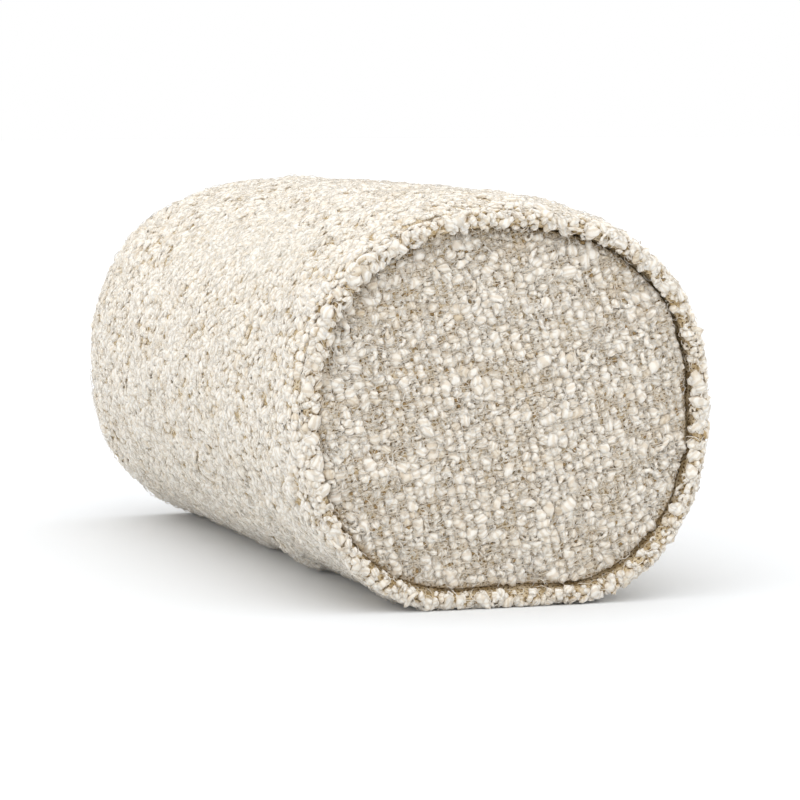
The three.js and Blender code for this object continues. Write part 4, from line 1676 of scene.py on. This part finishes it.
@dataclass
class Zip:
    """A nylon coil zip, sewn in behind the slit: tapes, coils, stops, slider and pull, and its stitching."""

    cover: FilledCover
    frame: ZipFrame
    nodes: dict[str, bpy.types.Object]
    slit_half: float = 160 * MM
    tape_half: float = 172 * MM
    tape_flat: float = 4.4 * MM
    tape_lean: float = math.radians(6)
    tape_top: float = 6.9 * MM
    tape_thickness: float = 0.5 * MM
    coil_half: float = 154 * MM
    coil_near: float = 0.8 * MM
    coil_width: float = 2.4 * MM
    coil_top: float = 5.0 * MM
    coil_height: float = 1.6 * MM
    coil_pitch: float = 1.4 * MM
    coil_wire: float = 0.26 * MM
    stitch_offset: float = 7 * MM
    bartack_width: float = 8 * MM
    bartack_at: tuple[float, float] = (160.3 * MM, 162.8 * MM)

    def build(self) -> None:
        """Builds the zip."""
        for name, side in (("upper", -1), ("lower", 1)):
            self._tape(name, side)
            self._coil(name, side)
            self._topstitching(name, side)
        for end in End:
            self._bartack(end)
        for node in ("zip_top_stop", "zip_bottom_stop", "zip_slider", "zip_pull"):
            self._metal(node)

    def _tape(self, name: str, side: int) -> None:
        """One tape: a narrow woven strip, level beside the coil and then leaning with the cover."""
        rows = 130
        across = np.array([0, 0.3, 2.4, 4.4, 6.5, 9.0, 11.4, 11.7]) * MM
        fall = np.maximum(across - self.tape_flat, 0) * math.tan(self.tape_lean)
        x = np.linspace(-self.tape_half, self.tape_half, rows)
        y = side * (self.coil_near + across)
        place = self.frame.place(x[:, None], y[None, :], (-self.tape_top - fall)[None, :])
        lift = Waves(14 * MM, SEED + 70 + side).at(place) * 0.05 * MM
        place = place - self.frame.out * np.abs(lift)[..., None]
        faces = grid_faces(rows, len(across), False)
        if side > 0:
            faces = faces[:, ::-1]
        piece = make_mesh(f"zip_tape_cloth_{name}", place.reshape(-1, 3), [faces])
        set_cloth(piece, x[:, None], across[None, :])
        thicken(piece, self.tape_thickness)
        dress(piece, "tape", f"zip_tape_{name}")

    def _coil(self, name: str, side: int) -> None:
        """One coil of nylon, wound flat."""
        turns = 2 * self.coil_half / self.coil_pitch
        t = np.arange(0, turns, 0.1)
        angle = 2 * math.pi * t
        middle = side * (self.coil_near + self.coil_width / 2)
        reach = self.coil_width / 2 - self.coil_wire
        head = np.where(np.cos(angle) * -1 > 0.8, 0.12 * MM, 0)
        y = middle + side * (reach * np.cos(angle) - head)
        z = -self.coil_top - self.coil_height / 2 + (self.coil_height / 2 - self.coil_wire) * np.sin(angle)
        x = -self.coil_half + (t + 0.25 * (1 + side)) * self.coil_pitch
        x = x.clip(-self.coil_half, self.coil_half)
        piece = strand_piece(f"zip_coil_wire_{name}", [self.frame.place(x, y, z)], self.coil_wire, 4)
        dress(piece, "nylon", f"zip_coil_{name}")

    def _topstitching(self, name: str, side: int) -> None:
        """A row of stitches through the cloth and the tape, beside the slit."""
        sewing = StitchRow(f"zip_topstitching_{name}", f"zip_stitching_{name}")
        x = np.arange(-self.slit_half + 2 * MM, self.slit_half - 1 * MM, sewing.pitch)
        shape = self.cover.shape
        phi = ZIP_ANGLE - side * self.stitch_offset / (shape.radius * shape.width_share)
        place, normal, _ = self.cover.on_tube(x, np.full(len(x), phi))
        sewing.sew([(place - normal * 0.3 * MM, normal)])

    def _bartack(self, end: End) -> None:
        """A bar tack across one end of the slit."""
        low, high = self.bartack_at
        x = end.value * np.linspace(low + 0.3 * MM, high - 0.3 * MM, 7)
        place = self.frame.place(x, 0, 0.25 * MM)
        normal = np.tile(self.frame.out, (len(x), 1))
        sewing = StitchRow(f"zip_bartack_thread_{end.label}", f"zip_bartack_{end.label}", radius=0.3 * MM)
        sewing.sew([(place, normal)], length=self.bartack_width)

    def _metal(self, node: str) -> None:
        """A die-cast piece: the frame's own shape with its edges rounded."""
        body = {"zip_slider": "slider", "zip_pull": "pull"}.get(node, "root")
        source = self.nodes[node]
        piece = source.copy()
        piece.data = source.data.copy()
        piece.parent = None
        for key in list(piece.keys()):
            del piece[key]
        piece.name = f"{node}_cast"
        bpy.context.scene.collection.objects.link(piece)
        piece.data.materials.clear()
        pick(piece)
        bpy.ops.object.mode_set(mode="EDIT")
        bpy.ops.mesh.select_all(action="SELECT")
        bpy.ops.mesh.remove_doubles(threshold=0.001 * MM)
        bpy.ops.mesh.dissolve_limited(angle_limit=math.radians(1))
        bpy.ops.object.mode_set(mode="OBJECT")
        bevel = piece.modifiers.new("rounded", "BEVEL")
        bevel.width = 0.22 * MM
        bevel.segments = 3
        bevel.limit_method = "ANGLE"
        bevel.angle_limit = math.radians(30)
        bpy.ops.object.modifier_apply(modifier=bevel.name)
        bpy.ops.object.shade_smooth_by_angle(angle=math.radians(40))
        dress(piece, "metal", node, body)


def dress(piece: bpy.types.Object, finish: str, node: str, body: str = "root") -> None:
    """Gives a piece its finish, slot and body, and stands it in for a frame piece.

    Args:
        piece: The piece.
        finish: The finish's name in FINISHES.
        node: The frame piece that it replaces.
        body: The body that it moves with.
    """
    piece.data.materials.clear()
    piece.data.materials.append(FINISHES[finish])
    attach(piece, body)
    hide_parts(node)
    log.info("%s: %d faces", piece.name, len(piece.data.polygons))


# ---------- Label and hidden seams ----------


@dataclass
class CareLabel:
    """A blank satin label, folded into the long seam and hanging on the cloth below it."""

    cover: FilledCover
    seam_inset: float = 9 * MM
    width: float = 22 * MM
    drop: float = math.radians(17)
    lift: float = 1.0 * MM
    thickness: float = 0.3 * MM

    def build(self) -> None:
        """Builds the label as a sheet that follows the pillow round, with a little wave at its free end."""
        shape = self.cover.shape
        end = shape.seam_x - self.seam_inset
        x = np.linspace(end - self.width, end, 13)
        share = np.linspace(0, 1, 19)
        phi = ZIP_ANGLE - self.drop * share
        wide, turn = np.meshgrid(x, phi, indexing="xy")
        wave = 0.12 * MM * np.sin((wide - end) / (7 * MM) * math.pi) * share[:, None]
        place = shape.place(wide, shape.tube_radius(wide) + self.lift + wave, turn)
        down = length_to(place[:, 6])
        faces = grid_faces(len(share), len(x), False)
        piece = make_mesh("care_label_satin", place.reshape(-1, 3), [faces])
        set_cloth(piece, x[None, :], down[:, None])
        thicken(piece, self.thickness)
        dress(piece, "satin", "care_label")


@dataclass
class HiddenSeams:
    """The stitches that hold the cover together from inside, and the cords in its end seams."""

    cover: FilledCover
    stitch_from: float = 172.5 * MM
    stitch_to: float = 191 * MM
    seam_depth: float = 3.65 * MM
    allowance_from: float = 8.45 * MM
    allowance_out: float = 2.0 * MM
    cord_radius: float = 1.55 * MM

    def build(self) -> None:
        """Builds both ends' stitches and cords."""
        for end in End:
            self._long_seam(end)
            self._end_seam(end)
            self._cord(end)

    def _long_seam(self, end: End) -> None:
        """Stitches of the long seam, beyond the zip."""
        sewing = StitchRow(f"long_seam_stitches_{end.label}", f"long_seam_thread_{end.label}", pitch=2.6 * MM)
        x = end.value * np.arange(self.stitch_from + 1.3 * MM, self.stitch_to - 1 * MM, sewing.pitch)
        phi = np.full(len(x), ZIP_ANGLE)
        shape = self.cover.shape
        place = shape.place(x, shape.tube_radius(x) - self.seam_depth, phi)
        out = unit(shape.place(x, shape.tube_radius(x), phi) - place)
        sewing.sew([(place, out)])

    def _end_seam(self, end: End) -> None:
        """Stitches round the seam allowance of one end."""
        sewing = StitchRow(f"end_seam_stitches_{end.label}", f"end_seam_thread_{end.label}")
        amount = round(2 * math.pi * Welt.centre_radius / sewing.pitch)
        phi = full_turn(amount)
        tilt = Welt.tail_tilt
        places = []
        for across in (self.allowance_out, self.allowance_out + 1 * MM):
            radius = Welt.centre_radius - self.allowance_from * math.sin(tilt) + across * math.cos(tilt)
            x = self.cover.shape.seam_x - self.allowance_from * math.cos(tilt) - across * math.sin(tilt)
            places.append(self.cover.shape.place(end.value * x, radius, phi))
        sewing.sew([(places[0], unit(places[1] - places[0]))])

    def _cord(self, end: End) -> None:
        """The filler cord of one end: three plies, twisted."""
        columns, sides = 420, 15
        phi = full_turn(columns)
        angle = full_turn(sides)
        ply = 1 - 0.16 * np.abs(np.sin(1.5 * (angle[None, :] - 36 * phi[:, None])))
        reach = self.cord_radius * ply
        x = end.value * (self.cover.shape.seam_x + reach * np.cos(angle)[None, :])
        radius = Welt.centre_radius + reach * np.sin(angle)[None, :]
        place = self.cover.shape.place(x, radius, phi[:, None])
        faces = wrap_faces(columns, sides)
        if end is End.FRONT:
            faces = faces[:, ::-1]
        piece = make_mesh(f"welt_filler_cord_{end.label}", place.reshape(-1, 3), [faces])
        dress(piece, "cord", f"welt_cord_{end.label}")


# ---------- Insert ----------


@dataclass
class Insert:
    """The filling in its own casing: foam core, fibre wrap and cambric, with a dent where the zip lies."""

    shape: Settled
    gap: float = 0.7 * MM
    cloth_thickness: float = 3 * MM
    corner: float = 24 * MM
    end_inset: float = 9 * MM
    crown: float = 10 * MM
    casing: float = 0.8 * MM
    batting: float = 15 * MM
    layer_gap: float = 0.6 * MM
    dent: float = 5.7 * MM
    dent_width: float = math.radians(10)
    seam_angle: float = 45
    seam_half: float = 1
    columns: int = 120

    def build(self) -> None:
        """Builds every layer, from the casing inwards."""
        inset = self.casing + self.layer_gap
        inner = inset + self.batting
        side = self.seam_angle - self.seam_half
        start = self.seam_angle + self.seam_half
        casing = self._side_face(0, side) + self._side_face(self.casing, side)[::-1]
        wrap = self._side_face(inset, side) + self._side_face(inner, side)[::-1]
        self._shell("insert_casing_tube", casing, True, "insert_tube", "cambric", "cambric", 0.15)
        self._shell("batting_wrap_fibre", wrap, True, "batting_wrap", "fibre", "polyester_fibre", 0.5)
        for end in End:
            lid = self._end_face(0, self.crown, start)[::-1] + self._end_face(self.casing, self.crown, start)
            pad = self._end_face(inset, self.crown, start)[::-1] + self._end_face(inner, 0, start)
            label = end.label
            cambric, fibre = ("cambric", "cambric", 0.15), ("fibre", "polyester_fibre", 0.5)
            self._shell(f"insert_casing_end_{label}", lid, False, f"insert_end_{label}", *cambric, end)
            self._shell(f"batting_pad_{label}", pad, False, f"batting_disc_{label}", *fibre, end)
            self._seam(end)
        foam = self._end_face(inner + self.layer_gap, 0, 0)
        rear = [(-x, radius) for x, radius in foam]
        self._shell("foam_core_cut", rear[::-1] + foam, False, "foam_core", "foam", "foam", 0.1)

    @property
    def radius(self) -> float:
        """The insert's outer radius."""
        return self.shape.radius - self.cloth_thickness - self.gap

    @property
    def end_x(self) -> float:
        """Where the insert's end starts to crown."""
        return self.shape.seam_x - self.end_inset

    def _dented(self, phi: np.ndarray) -> np.ndarray:
        """The share of its radius that the dent for the zip leaves at an angle."""
        away = np.abs(from_zip(phi)) / self.dent_width
        return 1 - self.dent * np.clip(2 - away, 0, 1) / self.radius

    def _shoulder(self, inset: float, start: float, stop: float) -> list[tuple[float, float]]:
        """X and radius of places on the rounded shoulder, from facing outwards to facing along X."""
        angles = np.radians(np.linspace(start, stop, max(2, round((stop - start) / 8))))
        reach = self.corner - inset
        x = self.end_x - self.corner + reach * np.sin(angles)
        radius = self.radius - self.corner + reach * np.cos(angles)
        return list(zip(x, radius))

    def _side_face(self, inset: float, stop: float) -> list[tuple[float, float]]:
        """Both shoulders, with the straight side between them."""
        front = self._shoulder(inset, 0, stop)
        straight = [(x, front[0][1]) for x in np.linspace(-front[0][0], front[0][0], 24)[1:-1]]
        return [(-x, radius) for x, radius in front][::-1] + straight + front

    def _end_face(self, inset: float, crown: float, start: float) -> list[tuple[float, float]]:
        """An end's shoulder and its crowned face, to the axis."""
        rim = self.radius - self.corner
        shares = np.linspace(1, 0, 8)[1:]
        face = [(self.end_x - inset + crown * (1 - share**2), rim * share) for share in shares]
        return self._shoulder(inset, start, 90) + face

    def _shell(
        self,
        name: str,
        profile: list[tuple[float, float]],
        ring: bool,
        node: str,
        finish: str,
        slot: str,
        unevenness: float,
        end: End = End.FRONT,
    ) -> None:
        """Turns a profile round the pillow's axis, dents and settles it, and dresses it.

        Args:
            name: The piece's name.
            profile: Its outline as x and radius.
            ring: Whether the outline closes on itself, instead of on the axis.
            node: The frame piece that it replaces.
            finish: Its finish.
            slot: Not used.
            unevenness: How far its surface wanders, in millimetres.
            end: Which end it is at.
        """
        outline = np.array(profile)
        keep = np.ones(len(outline), bool) if ring else outline[:, 1] > 1e-6
        poles = outline[~keep]
        outline = outline[keep]
        x, radius = outline[:, 0] * end.value, outline[:, 1]
        phi = full_turn(self.columns)
        dented = radius[:, None] * self._dented(phi)[None, :]
        place = self.shape.place(x[:, None], dented, phi[None, :])
        wander = Waves(22 * MM, SEED + 80).at(place) - 2.2
        middle = self.shape.place(x[:, None], 0 * dented, phi[None, :])
        outwards = unit(place - middle) * np.array([0, 1, 1])
        place = place + outwards * (wander * unevenness * 0.25 * MM)[..., None]
        rows = len(outline)
        vertices = place.reshape(-1, 3)
        if ring:
            faces = [wrap_faces(rows, self.columns)[:, ::-1]]
        else:
            ends = self.shape.place(poles[:, 0] * end.value, 0, np.zeros(len(poles)))
            vertices = np.concatenate([vertices, ends])
            columns = np.arange(self.columns)
            after = (columns + 1) % self.columns
            last = (rows - 1) * self.columns
            first_pole, last_pole = rows * self.columns, rows * self.columns + 1
            faces = [
                grid_faces(rows, self.columns, True),
                np.stack([np.full(self.columns, first_pole), after, columns], -1),
                np.stack([np.full(self.columns, last_pole), last + columns, last + after], -1),
            ]
        piece = make_mesh(name, vertices, faces)
        girth = length_to(outline)[:, None]
        cloth = np.stack(np.broadcast_arrays(phi[None, :] * self.radius, girth), -1).reshape(-1, 2)
        if not ring:
            cloth = np.concatenate([cloth, np.zeros((2, 2))])
        set_uv(piece, "cloth", cloth)
        turn_outwards(piece)
        dress(piece, finish, node)

    def _seam(self, end: End) -> None:
        """Stitches between the casing's tube and one of its ends."""
        names = f"insert_seam_stitches_{end.label}", f"insert_seam_thread_{end.label}"
        sewing = StitchRow(*names, pitch=3.4 * MM)
        angle = math.radians(self.seam_angle)
        phi = np.linspace(0, 2 * math.pi, 150, endpoint=False)
        places = []
        for reach in (self.corner + 0.65 * MM, self.corner + 2 * MM):
            x = self.end_x - self.corner + reach * math.sin(angle)
            radius = (self.radius - self.corner + reach * math.cos(angle)) * self._dented(phi)
            places.append(self.shape.place(end.value * x, radius, phi))
        sewing.sew([(places[0], unit(places[1] - places[0]))])


def turn_outwards(piece: bpy.types.Object) -> None:
    """Makes all of a closed piece's faces point outwards."""
    pick(piece)
    bpy.ops.object.mode_set(mode="EDIT")
    bpy.ops.mesh.select_all(action="SELECT")
    bpy.ops.mesh.normals_make_consistent(inside=False)
    bpy.ops.object.mode_set(mode="OBJECT")


# ---------- Studio ----------


@dataclass
class Studio:
    """A plain white floor, a white surround and three wide soft lights.

    Each light has a name, a point in its direction from the pillow, a strength and a width in degrees.
    """

    azimuth: float = math.radians(71.6)
    elevation: float = math.radians(4.97)
    distance: float = 1.7776
    target: tuple[float, float, float] = (0.04368, 0.0, 0.08292)
    lens: float = 159.7
    sky_low: float = 0.66
    sky_high: float = 1.22
    backdrop: float = 1.0
    lights: tuple[tuple, ...] = (
        ("key", (0.1, -1.3, 1.2), 0.5, 90),
        ("fill", (1.4, -0.7, 1.5), 0.68, 80),
        ("right", (0.3, 1.2, 1.5), 0.4, 100),
    )

    def build(self) -> None:
        """Sets the camera, the lights, the world and the floor."""
        self._camera()
        self._floor()
        self._world()
        for light in self.lights:
            self._light(*light)
        view = bpy.context.scene.view_settings
        view.view_transform = "Standard"
        view.look = "None"

    def _camera(self) -> None:
        """Looks at the pillow from its front end, low and a little to one side."""
        back = Vector((
            math.sin(self.azimuth) * math.cos(self.elevation),
            -math.cos(self.azimuth) * math.cos(self.elevation),
            math.sin(self.elevation),
        ))
        lens = bpy.data.cameras.new("camera")
        lens.lens = self.lens
        lens.sensor_width = 36
        camera = bpy.data.objects.new("camera", lens)
        camera.location = Vector(self.target) + back * self.distance
        camera.rotation_euler = back.to_track_quat("Z", "Y").to_euler()
        bpy.context.scene.collection.objects.link(camera)
        bpy.context.scene.camera = camera

    def _floor(self) -> None:
        """A wide matt floor."""
        bpy.ops.object.select_all(action="DESELECT")
        bpy.ops.mesh.primitive_plane_add(size=30, location=(0, 0, 0))
        floor = bpy.context.object
        floor.name = "floor"
        material, tree = start_material("matt_white_floor")
        shader = tree.nodes["Principled BSDF"]
        shader.inputs["Base Color"].default_value = linear("#e8eaec")
        shader.inputs["Roughness"].default_value = 0.9
        shader.inputs["Specular IOR Level"].default_value = 0.1
        floor.data.materials.append(material)

    def _world(self) -> None:
        """A white surround, brighter overhead than low down, and plain white to look at."""
        world = bpy.data.worlds.new("surround")
        world.use_nodes = True
        tree = world.node_tree
        background = tree.nodes["Background"]
        way = add_node(tree, "TexCoord").outputs["Generated"]
        height = add_node(tree, "SeparateXYZ", {"Vector": way}).outputs["Z"]
        sky = add_node(tree, "MapRange", {0: height, 3: self.sky_low, 4: self.sky_high})
        path = add_node(tree, "LightPath").outputs["Is Camera Ray"]
        strength = add_node(tree, "MapRange", {0: path, 3: sky.outputs[0], 4: self.backdrop})
        tree.links.new(strength.outputs[0], background.inputs["Strength"])
        background.inputs["Color"].default_value = (1, 1, 1, 1)
        bpy.context.scene.world = world

    def _light(self, name: str, place: tuple[float, float, float], strength: float, width: float) -> None:
        """A far, wide soft light.

        Args:
            name: The light's name.
            place: A point in its direction from the pillow.
            strength: Its strength on a surface that faces it, in watts a square metre.
            width: How wide it looks from the pillow, in degrees.
        """
        lamp = bpy.data.lights.new(name, "SUN")
        lamp.energy = strength
        lamp.angle = math.radians(width)
        light = bpy.data.objects.new(name, lamp)
        light.rotation_euler = Vector(place).to_track_quat("Z", "Y").to_euler()
        bpy.context.scene.collection.objects.link(light)


FINISHES: dict[str, Material] = {}


def make_finishes() -> None:
    """Makes each finish once, for the pieces to share."""
    binder = LoopedYarn("fine_binder_yarn", deep="#e0d4c0", middle="#ece3d4", tip="#f5f0e8")
    tape = WovenCloth("woven_polyester_tape", "#e8dfcf", "#cdbfa8", 0.5 * MM, 0.8)
    satin = WovenCloth("woven_satin_ribbon", "#f6f4ee", "#e2ddd2", 0.35 * MM, 0.42, 0.2, True)
    cambric = WovenCloth("calendered_cotton_cambric", "#f7f5f0", "#e2ddd2", 0.4 * MM, 0.85)
    finishes = {
        "yarn": LoopedYarn(),
        # Each ground's third colour is the painted shade in its gaps, darkest on the welt
        "tube_ground": GroundWeave("#e4d8c2", "#cab691", "#8f7a55"),
        "end_ground": GroundWeave(),
        "welt_ground": GroundWeave("#d8c8ab", "#b7a27d", "#715c3d"),
        "binder": binder,
        "thread": SpunThread("spun_polyester_thread"),
        "cord": SpunThread("twisted_cotton_cord", "#f3efe6", "#d8cfbf", 0.8 * MM, 0.9),
        "tape": tape,
        "nylon": DrawnNylon(),
        "metal": PlatedZinc(),
        "satin": satin,
        "cambric": cambric,
        "fibre": LooseFill("carded_polyester_fibre", "#fbfbf9", "#e4e4e0", 0.6 * MM),
        "foam": LooseFill("cut_polyurethane_foam", "#f3ecd6", "#dccfa8", 1.2 * MM, True),
    }
    for name, finish in finishes.items():
        FINISHES[name] = finish.material()


def corners(box: tuple) -> list[list[float]]:
    """A box's lowest and highest corners as plain numbers."""
    return [[float(value) for value in corner] for corner in box]


def main() -> None:
    """Builds the dressed pillow and its studio."""
    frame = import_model()
    make_finishes()
    Studio().build()
    shape = Settled.from_frame()
    cover = FilledCover(shape)
    boucle = Boucle(radius=2.6 * MM, height=2.6 * MM, variety=0.2, pale=0.5)
    TubeCloth(cover, Zipline(), Boucle(
        radius=2.8 * MM,
        height=1.35 * MM,
        ground_depth=1.3 * MM,
        nep_height=1.1 * MM,
        variety=0.2,
        pale=0.75,
        tan_neps=0.08,
        ragged=0.09,
        uneven=0.13,
    )).build()
    for end in End:
        EndCloth(cover, boucle, end).build()
        Welt(cover, boucle, end).build()
    Zip(cover, ZipFrame(shape), frame["nodes"]).build()
    CareLabel(cover).build()
    HiddenSeams(cover).build()
    Insert(shape).build()


if __name__ == "__main__":
    main()
